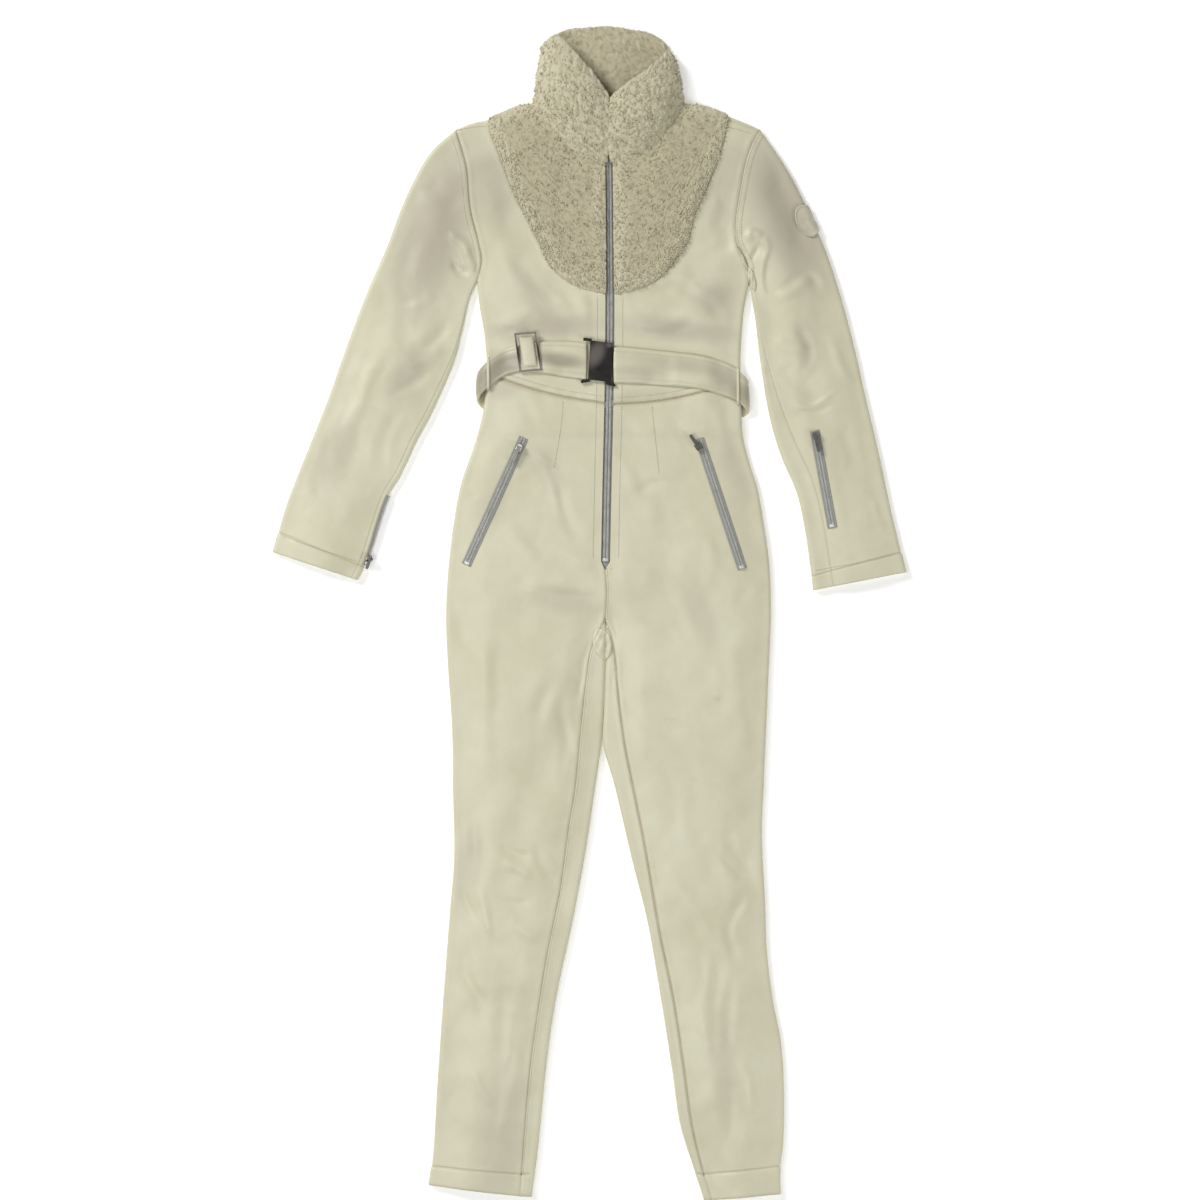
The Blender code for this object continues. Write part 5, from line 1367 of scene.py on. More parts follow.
# rows down the trousers: plan height on the side line, plan height on the inner line
TROUSER_ROWS = [(422, 428), (452, 460), (488, 494), (526, 530), (560, 562), (568, 568),
                (596, 596), (612, 612), (620, 620), (630, 632), (644, 644), (668, 668),
                (702, 702), (741, 741), (790, 790), (842, 844), (898, 900), (954, 958),
                (1012, 1016), (1072, 1078), (1126, 1132), (1165, 1173), (1170, 1179)]
HEM_FROM = 1174.0                                   # where the trouser hems begin
HEM_WALL, HEM_PROUD, HEM_GROOVE = 0.0013, 0.0008, 0.0012     # extra wall, stand-off, groove


def trouser_rows(side: Side, inner_end: float, spacing: float) -> Array:
    """Plan heights of each row's two ends, evenly close from the waist to the hem."""
    hem_y = HEM_END[side.value][0][1]
    marks = np.array([(WAIST_Y[side.value][1], FRONT_Y[1]), *TROUSER_ROWS, (hem_y, inner_end)])
    run = np.concatenate([[0], np.cumsum(np.diff(marks[:, 1]))])
    at = np.linspace(0, run[-1], steps(run[-1] * UNIT, spacing) + 1)
    at = closer(at, HEM_FROM - marks[0, 1], 5.0, 0.7)
    return np.stack([np.interp(at, run, marks[:, k]) for k in (0, 1)], -1)


def hem_form(ys: Array) -> tuple[Array, Array]:
    """Wall and stand-off of rows that end in a turned and stitched hem."""
    hem = soft((ys - HEM_FROM) / 3)
    groove = np.exp(-((ys - HEM_FROM + 0.5) / 0.9) ** 2)
    return WALL + HEM_WALL * hem, HEM_PROUD * hem - HEM_GROOVE * groove


@dataclass
class TrouserFront:
    """One front leg from the waist to the hem, between the side and the front zip or inseam."""

    side: Side
    flat: tuple[float, float] = (0.235, 1.07)
    area: float = 0.167

    def build(self, finish: bpy.types.Material) -> bpy.types.Object:
        """Makes the panel.

        Args:
            finish: its material.
        Returns:
            The panel.
        """
        ys = trouser_rows(self.side, FRONT_HEM_Y[self.side.value], SPACING * 1.35)
        inner = (zip_edge(self.side, FRONT_Y[1], CROTCH_Y).plus(LINES["centre"])
                 .plus(self.side.line("inseam")))
        left, right = self.side.line("side").at_y(ys[:, 0]), inner.at_y(ys[:, 1])
        across = columns(widths(left, right), 44)
        head = self.side.line("waist").walk(across[0])
        head[0], head[-1] = left[0], right[0]
        foot = left[-1] + (right[-1] - left[-1]) * across[-1][:, None]
        plan = patch(left, right, head, foot, across, 3.0)
        wall, proud = hem_form(ys[:, 1])
        sheet = Sheet(f"trouser_front_{self.side.word}", finish, self.flat, self.area)
        return sheet.build(plan, np.ones(1), wall[:, None], proud[:, None])


@dataclass
class TrouserBack:
    """From the side seam under the leg, round the inner edge and up to the inseam.

    Above the crotch it ends flat at the middle. From there its inner end climbs a half circle of
    EDGE_R and then runs over the top to the inseam.
    """

    side: Side
    flat: tuple[float, float] = (0.27, 1.07)
    area: float = 0.180
    middle: float = 606.25
    split: float = 634

    def build(self, finish: bpy.types.Material) -> bpy.types.Object:
        """Makes the panel row by row: flat below, a half circle, then a strip on top.

        Args:
            finish: its material.
        Returns:
            The panel.
        """
        ys = trouser_rows(self.side, BACK_HEM_Y[self.side.value], SPACING * 2.2)
        left, inner = self.side.line("side").at_y(ys[:, 0]), self.inner_ends(ys[:, 1])
        w = widths(left, inner)
        fine = np.array([0.0, 0.08, 0.25, 0.55, 1.0]) * EDGE_R
        flat = np.linspace(fine[-1] * np.ones_like(w), w - EDGE_R, 22)[1:]
        s = np.concatenate([fine[:, None] * np.ones_like(w), flat]).T
        plan = left[:, None] + (inner - left)[:, None] * (s / w[:, None])[..., None]
        outer = np.concatenate([SKIN.points(plan, -np.ones(1)),
                                self.turned_end(ys[:, 1], inner, unit(inner - left))], 1)
        wall, proud = hem_form(ys[:, 1])
        top = self.tops(outer)
        sheet = Sheet(f"trouser_back_{self.side.word}", finish, self.flat, self.area)
        return sheet.build(outer[..., :2], top, wall[:, None], proud[:, None] * (top > 0), outer)

    def inner_ends(self, ys: Array) -> Array:
        """Each row's inner end: the suit's middle down to the split, then the leg's inner edge."""
        middle = metres([self.middle, 0])[0] + self.side.sign * SEAM
        inner = self.side.line("inner").at_y(ys)
        inner[:, 0] = np.where(ys < self.split, middle, inner[:, 0])
        low, high = (LINES[f"side_{s}"].at_y([WAIST_Y[s][1]])[0] for s in "lr")
        inner[0, 1] = low[1] + (high[1] - low[1]) * (middle - low[0]) / (high[0] - low[0])
        return inner

    def turned_end(self, ys: Array, inner: Array, way: Array) -> Array:
        """The columns past the flat part: round the folded edge and over to the inseam.

        Args:
            ys: plan heights of the rows.
            inner: their inner ends.
            way: unit vectors along the rows.
        Returns:
            Points of the outer face.
        """
        seam = self.side.line("inseam").at_y(np.minimum(ys, FRONT_HEM_Y[self.side.value]))
        strip = np.linalg.norm(inner - seam, axis=1)
        turn = np.where(strip < EDGE_R,
                        math.pi - np.arcsin(np.clip(1 - strip / EDGE_R, 0, 1)), math.pi)
        whole = EDGE_R * turn + np.maximum(strip - EDGE_R, 0)
        whole = whole * soft((ys - 611) / 8)
        share = np.linspace(0, 1, 22)[1:]
        q = share * np.maximum(whole, 1e-9)[:, None]
        flat_end = (whole < 1e-6)[:, None]
        angle = np.minimum(q, EDGE_R * math.pi) / EDGE_R
        beyond = np.maximum(q - EDGE_R * math.pi, 0)
        inset = np.where(flat_end, EDGE_R - share * EDGE_R, EDGE_R - EDGE_R * np.sin(angle) + beyond)
        plan = inner[:, None] - way[:, None] * inset[..., None]
        last = (whole > EDGE_R * math.pi * 0.9) & (ys > 621)
        slide = np.where(last[:, None], (q / np.maximum(whole, 1e-9)[:, None]) ** 3, 0)[..., None]
        plan = plan + slide * (seam - plan[:, -1])[:, None]
        arc = SKIN.lift(plan) + EDGE_R * (1 - np.cos(angle))
        above = (angle > math.pi / 2) & (ys[:, None] >= 626)
        rise = np.where(above, SKIN.points(plan, np.ones(1))[..., 2], arc)
        rise = np.where(flat_end, SKIN.lift(plan), rise)
        return np.concatenate([plan, rise[..., None]], -1)

    @staticmethod
    def tops(outer: Array) -> Array:
        """-1 for the columns below and 1 for those past the turn."""
        columns_above = np.arange(outer.shape[1]) > outer.shape[1] - 10
        return np.where(columns_above, 1.0, -1.0) * np.ones(outer.shape[:2])


# ---- fleece

PILE_FLOOR = 0.0006


def fleece_mesh(name: str, outer: Array, normal: Array, wall: Array, finish: bpy.types.Material,
                size: float, lip: Array | None, core: Array,
                high: float) -> bpy.types.Object:
    """A closed body of curly pile.

    Each face is moved out by the curls' height less its mean, over a lattice of the given size on
    the piece's own surface, with a second, finer lattice on top.
    Args:
        name: the object's name.
        outer: grid of the smooth outer face.
        normal: its outward normals.
        wall: its thickness.
        finish: its material.
        size: spacing of the curls.
        lip: perimeter points where the pile meets the cloth beside it, if it does.
        core: 1 where the pile is short, tight and dark, 0 where it is long and light.
        high: height of the curls.
    Returns:
        The object.
    """
    place = grid_uv(outer)
    bent = place + 0.0022 * np.stack([drift(place, 0.009, 21), drift(place, 0.009, 22)], -1)
    big, small = curls(bent, size, 11), curls(bent + 0.5, size * 0.45, 12)
    tuft = big * 0.55 + small * 0.38 + drift(bent, size * 0.7, 23) * 0.12
    inner = outer - normal * wall[..., None]
    lifted = outer + normal * ((tuft - 0.55) * high)[..., None]
    inner_tuft = np.zeros_like(tuft)
    if lip is None:
        inner_tuft = (curls(bent + 0.9, size, 13) * 0.55
                      + curls(bent + 0.2, size * 0.45, 14) * 0.38)
        inner = inner - normal * ((inner_tuft - 0.55) * high)[..., None]
    points, faces, source = shell_mesh(lifted, inner, 5, 1.1, lip)
    count = outer.shape[0] * outer.shape[1]
    marks = np.concatenate([tuft.ravel(), inner_tuft.ravel(), tuft.ravel()[source[2 * count:]]])
    points[:, 2] = np.maximum(points[:, 2], PILE_FLOOR)
    return put_mesh(name, points, turned_out(points, faces), finish,
                    place.reshape(-1, 2)[source], {"tuft": marks, "core": core.ravel()[source]})


def locks(name: str, outer: Array, normal: Array, share: Array, count: int,
          finish: bpy.types.Material) -> bpy.types.Object:
    """Short bent locks of wool that stand out of the pile.

    Each starts a little under the smooth face at a random place, leans its own way, bends on
    twice as far, and narrows from a four-sided foot through its middle to its end.
    Args:
        name: the object's name.
        outer: grid of the pile's smooth face.
        normal: its outward normals.
        share: how likely a lock is at each grid point, up to 1.
        count: places tried.
        finish: its material.
    Returns:
        The object.
    """
    rng = np.random.default_rng(count)
    rows, cols = outer.shape[:2]
    r, c = rng.uniform(0.5, rows - 1.51, count), rng.uniform(0.5, cols - 1.51, count)
    i, j = r.astype(int), c.astype(int)
    keep = rng.uniform(0, 1, count) < share[i, j]
    i, j, fr, fc = i[keep], j[keep], (r - i)[keep, None], (c - j)[keep, None]
    foot = outer[i, j] + (outer[i + 1, j] - outer[i, j]) * fr + (outer[i, j + 1] - outer[i, j]) * fc
    up, along = normal[i, j], unit(outer[i + 1, j] - outer[i, j])
    cross = np.cross(up, along)
    turn, bend = rng.uniform(0, 2 * math.pi, len(i)), rng.uniform(-1.6, 1.6, len(i))
    long = rng.uniform(0.0030, 0.0052, len(i))[:, None]
    first, second = (
        unit(along * np.cos(angle)[:, None] + cross * np.sin(angle)[:, None] + up * rise) * long / 2
        for angle, rise in ((turn, 0.85), (turn + bend, 0.40)))
    spine = np.stack([foot - up * 0.0008, foot + first, foot + first + second], 1)
    side = unit(np.cross(first, up))
    points, faces = bars(spine, side[:, None], unit(np.cross(side, first))[:, None],
                         np.array([0.9, 0.75, 0.22]) * MM)
    points[:, 2] = np.maximum(points[:, 2], PILE_FLOOR)
    # painted shade at each lock's foot, paler towards its end
    tuft = np.tile(np.repeat([0.55, 0.8, 1.0], 4), len(i))
    made = put_mesh(name, points, turned_out(points, faces), finish,
                    marks={"tuft": tuft, "core": np.repeat(1 - share[i, j], 12) * 0.8})
    return settle(made, "fleece")


@dataclass
class Bib:
    """Half of the fleece yoke: pile over its backing, lower and rounded at its borders."""

    side: Side
    flat: tuple[float, float] = (0.155, 0.25)
    area: float = 0.020
    cells: tuple[int, int] = (178, 109)
    places: int = 1900

    def build(self, finish: bpy.types.Material) -> bpy.types.Object:
        """Makes the half from the neck and the shoulder's edge to its foot and the zip.

        Args:
            finish: its material.
        Returns:
            The pile's body; its loose locks are a piece of their own.
        """
        corner, neck = self.side.line("bib_side").points[0], self.side.line("neck")
        yoke_top = under_edge(self.side.line("shoulder").points,
                              np.linspace(neck.points[0, 0], corner[0], 24))
        outer_edge = Line(yoke_top).plus(self.side.line("bib_side"))
        v, u = (np.linspace(0, 1, count) for count in self.cells)
        zip_side, foot_line = zip_edge(self.side, *YOKE_Y), self.side.line("bib_foot")
        left, right = outer_edge.walk(v), zip_side.walk(v)
        head, foot = neck.walk(u), foot_line.walk(u)
        head[-1], foot[-1] = right[0], right[-1]
        plan = patch(left, right, head, foot, np.broadcast_to(u, self.cells))
        border = np.full(plan.shape[:2], 0.03)
        for line in (outer_edge, foot_line, zip_side):
            border = np.minimum(border, np.abs(line.nearest(plan, 0.03)[0]))
        base = SKIN.points(plan, np.ones(1))
        normal = grid_normals(base)
        normal = normal * np.sign(normal[..., 2].sum())
        pile = PILE_EDGE + (PILE - PILE_EDGE) * soft(border / 0.010)
        outer = base + normal * pile[..., None]
        lip = (base + normal * 0.0003).reshape(-1, 3)[perimeter(*self.cells)]
        core = soft((border - 0.004 + 0.004 * drift(plan, 0.03, 61)) / 0.018)
        made = fleece_mesh(f"bib_{self.side.word}_fleece", drawn_back(outer, SEAM), normal,
                           pile + WALL, finish, 0.0046, lip, core, 0.0024)
        locks(f"bib_{self.side.word}_locks", outer, normal, 1 - 0.7 * core, self.places, finish)
        settle(made, "fleece", f"bib_{self.side.word}")
        return made


# the collar's fronts: share of the neck seam, then middle and top points of the outer face, as
# x, y and z (mm)
COLLAR_L = [
    (1.00, 607.4, 128, 30, 608.9, 99, 27),
    (0.76, 588.0, 121, 35, 594.0, 78, 33),
    (0.53, 573.0, 107, 36, 578.0, 60, 34),
    (0.30, 556.0, 94, 33, 562.0, 44, 31),
    (0.09, 542.0, 83, 23, 549.0, 41, 22),
    (0.00, 536.5, 80, 12, 541.5, 48, 12),
]
# base, middle and top points of the back: x, y, z (mm)
COLLAR_BACK = [
    (541, 108.4, 1.5, 540.5, 80, 2.5, 547, 42, 2.5),
    (553, 111.5, 0, 553, 76, 0, 561, 35, 0),
    (580, 116.5, 0, 582, 72, 0, 586, 31, 0),
    (608, 118.2, 0, 608, 70, 0, 608, 30, 0),
    (637, 116.5, 0, 636, 72, 0, 632, 33, 0),
    (665, 111.5, 0, 664, 77, 0, 656, 39, 0),
    (677, 108.4, 1.5, 677.5, 82, 2.5, 669, 49, 2.5),
]
COLLAR_R = [
    (0.00, 680.5, 83, 12, 676.0, 62, 12),
    (0.09, 676.0, 87, 23, 671.0, 57, 22),
    (0.30, 663.0, 99, 33, 660.0, 62, 31),
    (0.53, 647.0, 112, 36, 645.0, 75, 34),
    (0.76, 629.0, 124, 35, 627.0, 87, 33),
    (1.00, 609.4, 130, 30, 610.9, 99, 27),
]
# share of the collar's height, and its wall there
COLLAR_ROWS = [(0.0, 0.0048), (0.22, 0.0072), (0.44, 0.0085), (0.64, 0.0085), (0.82, 0.0085),
               (1.0, 0.0078)]


@dataclass
class Collar:
    """A standing fleece collar pressed flat: the two fronts over the back, open at the top."""

    flat: tuple[float, float] = (0.46, 0.125)
    area: float = 0.046
    part: float = 0.0018
    cells: tuple[int, int] = (86, 296)
    places: int = 2300

    def stations(self) -> Array:
        """Foot, middle and top of the outer face at each station, from front to front."""
        stations = []
        for key, table in (("l", COLLAR_L), ("b", COLLAR_BACK), ("r", COLLAR_R)):
            for row in table:
                if key == "b":
                    foot, row = np.array([*metres(row[:2]), row[2] * MM]), row[2:]
                else:
                    at, way = SKIN.frames(LINES[f"neck_{key}"].walk([row[0]]))
                    foot = at[0] + way[0] * 0.0035
                stations.append([*foot, *metres(row[1:3]), row[3] * MM,
                                 *metres(row[4:6]), row[6] * MM])
        stations = np.array(stations)
        stations[0, 0] += self.part
        stations[-1, 0] -= self.part
        return stations

    def build(self, finish: bpy.types.Material) -> bpy.types.Object:
        """Makes the collar: each station's foot, middle and top carry a parabola upwards.

        Args:
            finish: its material.
        Returns:
            The pile's body; its loose locks are a piece of their own.
        """
        stations = self.stations()
        gap = np.linalg.norm(np.diff(stations[:, 3:6], axis=0), axis=1)
        run = np.concatenate([[0], np.cumsum(np.maximum(gap, 0.006))])
        t = np.linspace(0, run[-1], self.cells[1])
        dense = self.through(stations, run, t)
        base, mid, top = dense[:, :3], dense[:, 3:6], dense[:, 6:]
        v = np.linspace(0, 1, self.cells[0])[:, None, None]
        wall = np.interp(v[:, 0, 0], *zip(*COLLAR_ROWS))[:, None] * np.ones(len(t))
        outer = base * (1 - v) * (1 - 2 * v) + 4 * mid * v * (1 - v) + top * v * (2 * v - 1)
        outer[..., 2] = np.maximum(outer[..., 2], 0.0)
        normal = -grid_normals(outer)
        where = np.interp(t, run, np.arange(len(stations)))
        back = soft((where - 6.2) / 0.8) * soft((11.8 - where) / 0.8)
        normal = unit(normal * (1 - back)[None, :, None] + np.array([0, 0, -1.0])
                      * back[None, :, None])
        outer = drawn_back(outer, 0.0003)
        core = np.broadcast_to(back, wall.shape) * 0.8
        made = fleece_mesh("collar_fleece", outer, normal, wall, finish, 0.0062, None, core, 0.0030)
        locks("collar_locks", outer, normal, 1 - core, self.places, finish)
        settle(made, "fleece", "collar")
        return made

    @staticmethod
    def through(rows: Array, at: Array, t: Array) -> Array:
        """A soft line through rows of numbers: cubic pieces with the mean slope at each row.

        Args:
            rows: the rows of numbers.
            at: the place of each row along the line.
            t: the places wanted.
        Returns:
            The numbers at each place.
        """
        slope = np.gradient(rows, at, axis=0)
        k = np.clip(np.searchsorted(at, t, side="right") - 1, 0, len(at) - 2)
        h = (at[k + 1] - at[k])[:, None]
        s = ((t - at[k])[:, None]) / h
        return ((2 * s ** 3 - 3 * s ** 2 + 1) * rows[k] + (s ** 3 - 2 * s ** 2 + s) * h * slope[k]
                + (3 * s ** 2 - 2 * s ** 3) * rows[k + 1] + (s ** 3 - s ** 2) * h * slope[k + 1])


# ---- zips

Bed = Callable[[Array, Array], tuple[Array, Array]]


def plan_bed(line: Line, lift: float) -> Bed:
    """Where a zip lies on the top cloth: points and normals for runs along and offsets across.

    Args:
        line: the zip's middle on the plan.
        lift: its height over the cloth.
    Returns:
        The function of runs and offsets.
    """
    def bed(run: Array, offset: Array) -> tuple[Array, Array]:
        """Points so far along the line and so far to its left, lifted off the cloth."""
        middle = line.at(run)
        ahead = unit(line.at(run + 0.002) - line.at(run - 0.002))
        cross = np.stack([-ahead[..., 1], ahead[..., 0]], -1)
        at, normal = SKIN.frames(middle)
        rise = normal @ np.array([0, 0, 1.0])
        plan = middle[:, None] + cross[:, None] * offset[None, :, None]
        tilt = -(normal[:, :2] * cross).sum(1) / rise
        z = at[:, 2, None] + tilt[:, None] * offset + lift
        points = np.concatenate([plan, z[..., None]], -1)
        return points, np.broadcast_to(normal[:, None], points.shape)
    return bed


def teeth(bed: Bed, runs: Array, side: int, inner: float, outer: float, size: float,
          rise: float) -> tuple[Array, Array]:
    """A row of rounded bars across a zip's half: vertices and quads.

    Each bar has four rings of four points: narrow at its ends, full between.
    Args:
        bed: where the zip lies.
        runs: the bars' places along it.
        side: which half.
        inner: the bars' ends nearest the middle.
        outer: their far ends.
        size: half their width along the zip.
        rise: height of their middle above the bed.
    Returns:
        Vertices and quads.
    """
    across = side * np.array([inner, inner + (outer - inner) * 0.15, inner
                              + (outer - inner) * 0.8, outer])
    full = np.array([0.55, 1.0, 1.0, 0.7])
    at, normal = bed(runs, across)
    ahead, _ = bed(runs + size, across)
    points, faces = bars(at + normal * rise, unit(ahead - at), normal, size * full, 1.1)
    return points, faces if side > 0 else faces[:, ::-1]


def grid_faces(rows: int, cols: int) -> Array:
    """Quads of a grid."""
    index = np.arange(rows * cols).reshape(rows, cols)
    return np.stack([index[:-1, :-1], index[1:, :-1], index[1:, 1:], index[:-1, 1:]],
                    -1).reshape(-1, 4)


def several(*parts: tuple[Array, Array]) -> tuple[Array, Array]:
    """Several bodies as one list of points and quads."""
    starts = np.cumsum([0, *[len(p) for p, _ in parts[:-1]]])
    return (np.concatenate([p for p, _ in parts]),
            np.concatenate([f + n for (_, f), n in zip(parts, starts)]))


@dataclass
class CoilZip:
    """A zip: ribbed tape, two rows of coil that lock in its middle, and its stop."""

    name: str
    bed: Bed
    start: float
    end: float
    tape_half: float = 0.0062
    coil_half: float = 0.0031
    pitch: float = 0.0014
    stop_from: float = 0.0058
    tail: float = 0.0
    sunk: float = 0.0

    def build(self, wardrobe: Wardrobe) -> list[bpy.types.Object]:
        """Makes the tape and the coil."""
        return [self.tape(wardrobe), self.coil(wardrobe)]

    def tape(self, wardrobe: Wardrobe) -> bpy.types.Object:
        """The tape: a thin band, a little raised beside the coil."""
        end = self.end + self.tail
        runs = np.linspace(self.start, end, steps(end - self.start, 0.002) + 1)
        share = np.array([-1, -0.97, -0.8, -0.62, -0.5, -0.25, 0, 0.25, 0.5, 0.62, 0.8, 0.97, 1])
        rise = np.array([0.25, 0.5, 0.5, 0.62, 0.75, 0.7, 0.6, 0.7, 0.75, 0.62, 0.5, 0.5, 0.25]) * MM
        at, normal = self.bed(runs, share * self.tape_half)
        at = at - normal * self.sunk
        outer = at + normal * rise[None, :, None]
        made = cloth_body(f"{self.name}_tape", outer, at, wardrobe.tape, (1, 0.3))
        return settle(made, "silver_coil", self.name)

    def coil(self, wardrobe: Wardrobe) -> bpy.types.Object:
        """The coil: bars on each half, half a pitch apart, and the block at the lower end."""
        runs = np.arange(self.start + 0.001, self.end - self.stop_from, self.pitch)
        parts = [teeth(self.bed, runs + (self.pitch / 2 if side > 0 else 0), side, 0.0004,
                       self.coil_half, self.pitch * 0.36, 0.0013) for side in (-1, 1)]
        parts.append(self.stop())
        points, faces = several(*parts)
        made = put_mesh(f"{self.name}_coil", points, faces, wardrobe.coil)
        return settle(made, "silver_coil")

    def stop(self) -> tuple[Array, Array]:
        """The block at the lower end: a soft-cornered plate over both rows."""
        runs = np.linspace(self.end - self.stop_from + 0.0006, self.end - 0.0004, 9)
        share = np.linspace(-1, 1, 9)
        at, normal = self.bed(runs, share * self.coil_half * 1.15)
        round_run = np.sqrt(np.clip(1 - np.abs(np.linspace(-1, 1, 9)) ** 6, 0, 1))
        round_side = np.sqrt(np.clip(1 - np.abs(share) ** 6, 0, 1))
        high = 0.0009 + 0.0019 * np.minimum(round_run[:, None], round_side[None])
        outer = at + normal * high[..., None]
        points, faces, _ = shell_mesh(outer, at + normal * 0.0006, 1, 0.2)
        return points, turned_out(points, faces)


def round_bed(line: Line, middle: float, lift: float) -> Bed:
    """Where a zip lies round a sleeve's folded edge: offsets run round it from mid height.

    Args:
        line: the folded edge on the plan.
        middle: the zip's middle round the edge, from mid height up.
        lift: its height over the cloth.
    Returns:
        The function of runs and offsets.
    """
    def bed(run: Array, offset: Array) -> tuple[Array, Array]:
        """Points so far along the edge and so far round it, lifted off the cloth."""
        around = middle + np.broadcast_to(offset, (len(run), len(offset)))
        p = line.at(run)
        ahead = unit(line.at(run + 0.002) - line.at(run - 0.002))
        inward = np.stack([ahead[:, 1], -ahead[:, 0]], -1)
        arc = EDGE_R * math.pi / 2
        angle = np.minimum(around, arc) / EDGE_R
        inset = EDGE_R * (1 - np.cos(angle)) + np.maximum(around - arc, 0)
        plan = p[:, None] + inward[:, None] * inset[..., None]
        crown = CROWN * soft((inset - EDGE_R) / CROWN_RUN)
        z = EDGE_R * (1 + np.sin(angle)) + crown
        side = -inward[:, None] * np.cos(angle)[..., None]
        normal = np.concatenate([side, np.sin(angle)[..., None]], -1)
        return np.concatenate([plan, z[..., None]], -1) + normal * lift, normal
    return bed


def run_near(line: Line, x: float, y: float) -> float:
    """Length along a line to its point nearest a plan point."""
    return float(line.nearest(metres([(x, y)]), 1.0)[1][0])


# ---- belt

# x, upper y, lower y, then height of the outer face in mm; None lies on the front of the suit
BELT = [
    (586, 344, 380, None), (574, 342.5, 378.5, None), (562, 342, 377, None), (550, 342, 375, None),
    (539, 342.5, 373.5, None), (528, 344, 372.5, None), (516, 347, 373, None), (504, 351, 377, None),
    (494, 357, 383.5, 18.6), (485, 364, 391, 17.4), (479.5, 370, 397, 13.4), (477.5, 375, 402, 8.2),
    (480, 379, 407, 3.0), (486, 381, 411, 0.4), (496, 382.5, 414, 0), (545, 384, 416, 0),
    (608, 385, 417, 0), (680, 386, 418, 0), (730, 386, 418, 0), (741, 385.5, 418, 0.4),
    (746.5, 384, 416, 3.0), (748.5, 381, 413, 8.2), (746.5, 378, 410, 13.4), (741, 373.5, 405, 17.4),
    (732, 367.5, 399.5, 18.8), (720, 362, 395, None), (706, 358, 391, None), (692, 355.5, 388.5, None),
    (676, 353.5, 387, None), (658, 351.5, 385.5, None), (642, 350, 384.5, None),
    (628, 348.5, 384, None), (614.5, 347.5, 384, None),
]


# corners of the strap's turned end, clockwise from the upper left
BELT_FOLD = ((519.5, 338.5), (533, 337.5), (537.4, 367), (524, 368.4))
BELT_COLS = 25                      # points across the strap
BELT_MIDDLE = BELT_COLS // 2


@dataclass
class Belt:
    """One strap from the buckle round the left side, under the back and up on the right."""

    flat: tuple[float, float] = (0.80, 0.043)
    thick: float = STRAP
    stations: int = 260
    ripple: float = 0.0014
    crown: float = 0.0017
    groove: float = 0.0005

    def grid(self) -> tuple[Array, Array]:
        """The strap's outer face, and its thickness across: full, thin at its folded edges."""
        table = np.array([(x, a, b, -1 if z is None else z) for x, a, b, z in BELT], float)
        seat = table[:, 3] < 0
        share = np.linspace(0, 1, BELT_COLS)
        plan = metres(np.stack([np.broadcast_to(table[:, :1], (len(table), BELT_COLS)),
                                table[:, 1:2] + (table[:, 2:3] - table[:, 1:2]) * share], -1))
        z = np.repeat(table[:, 3:] * MM, BELT_COLS, 1)
        on = SKIN.points(plan[seat], np.ones(1))[..., 2]
        centre = on[:, BELT_MIDDLE, None]
        z[seat] = np.maximum(on, centre - LAY) + 3 * LAY + self.thick
        rows = np.concatenate([plan, z[..., None]], -1).reshape(len(table), -1)
        middle = rows.reshape(len(table), BELT_COLS, 3)[:, BELT_MIDDLE]
        gap = np.linalg.norm(np.diff(middle, axis=0), axis=1)
        run = np.concatenate([[0], np.cumsum(gap)])
        t = np.linspace(0, run[-1], self.stations)
        dense = Collar.through(rows, run, t).reshape(self.stations, BELT_COLS, 3)
        edge = np.minimum(share, 1 - share)
        round_edge = np.sqrt(np.clip(1 - (1 - np.clip(edge / 0.05, 0, 1)) ** 2, 0, 1))
        return dense, round_edge

    def build(self, wardrobe: Wardrobe) -> Array:
        """Makes the strap, with its stitched grooves and slow ripples.

        Args:
            wardrobe: the finishes.
        Returns:
            Grid of the strap's outer face, for the loops over it.
        """
        outer, edge = self.grid()
        normal = grid_normals(outer)
        if normal[20, BELT_MIDDLE, 2] < 0:
            normal = -normal
        place = grid_uv(outer)
        share = np.linspace(0, 1, BELT_COLS)
        groove = np.exp(-((np.minimum(share, 1 - share) - 0.13) / 0.03) ** 2)
        bent = place + drift(place, 0.03, 43)[..., None] * 0.006
        wave = drift(bent * [0.7, 1.0], 0.018, 41) * 0.7 + drift(bent, 0.040, 42) * 1.1
        crown = 1 - (2 * share - 1) ** 2
        over = (wave * self.ripple * edge + crown * self.crown - groove * self.groove
                - (1 - edge) * self.thick * 0.5)
        top = outer + normal * over[..., None]
        top[..., 2] = np.maximum(top[..., 2], 0.0002 * (outer[..., 2] < 0.001))
        inner = outer - normal * (self.thick * (0.55 + 0.45 * edge))[None, :, None]
        # painted shade in the strap's stitched grooves
        dip = np.broadcast_to(groove * 0.5, outer.shape[:2])
        made = cloth_body("belt_strap_cloth", top, inner, wardrobe.strap, (2, 0.7), dip, place)
        settle(made, "softshell", "belt_strap")
        return top


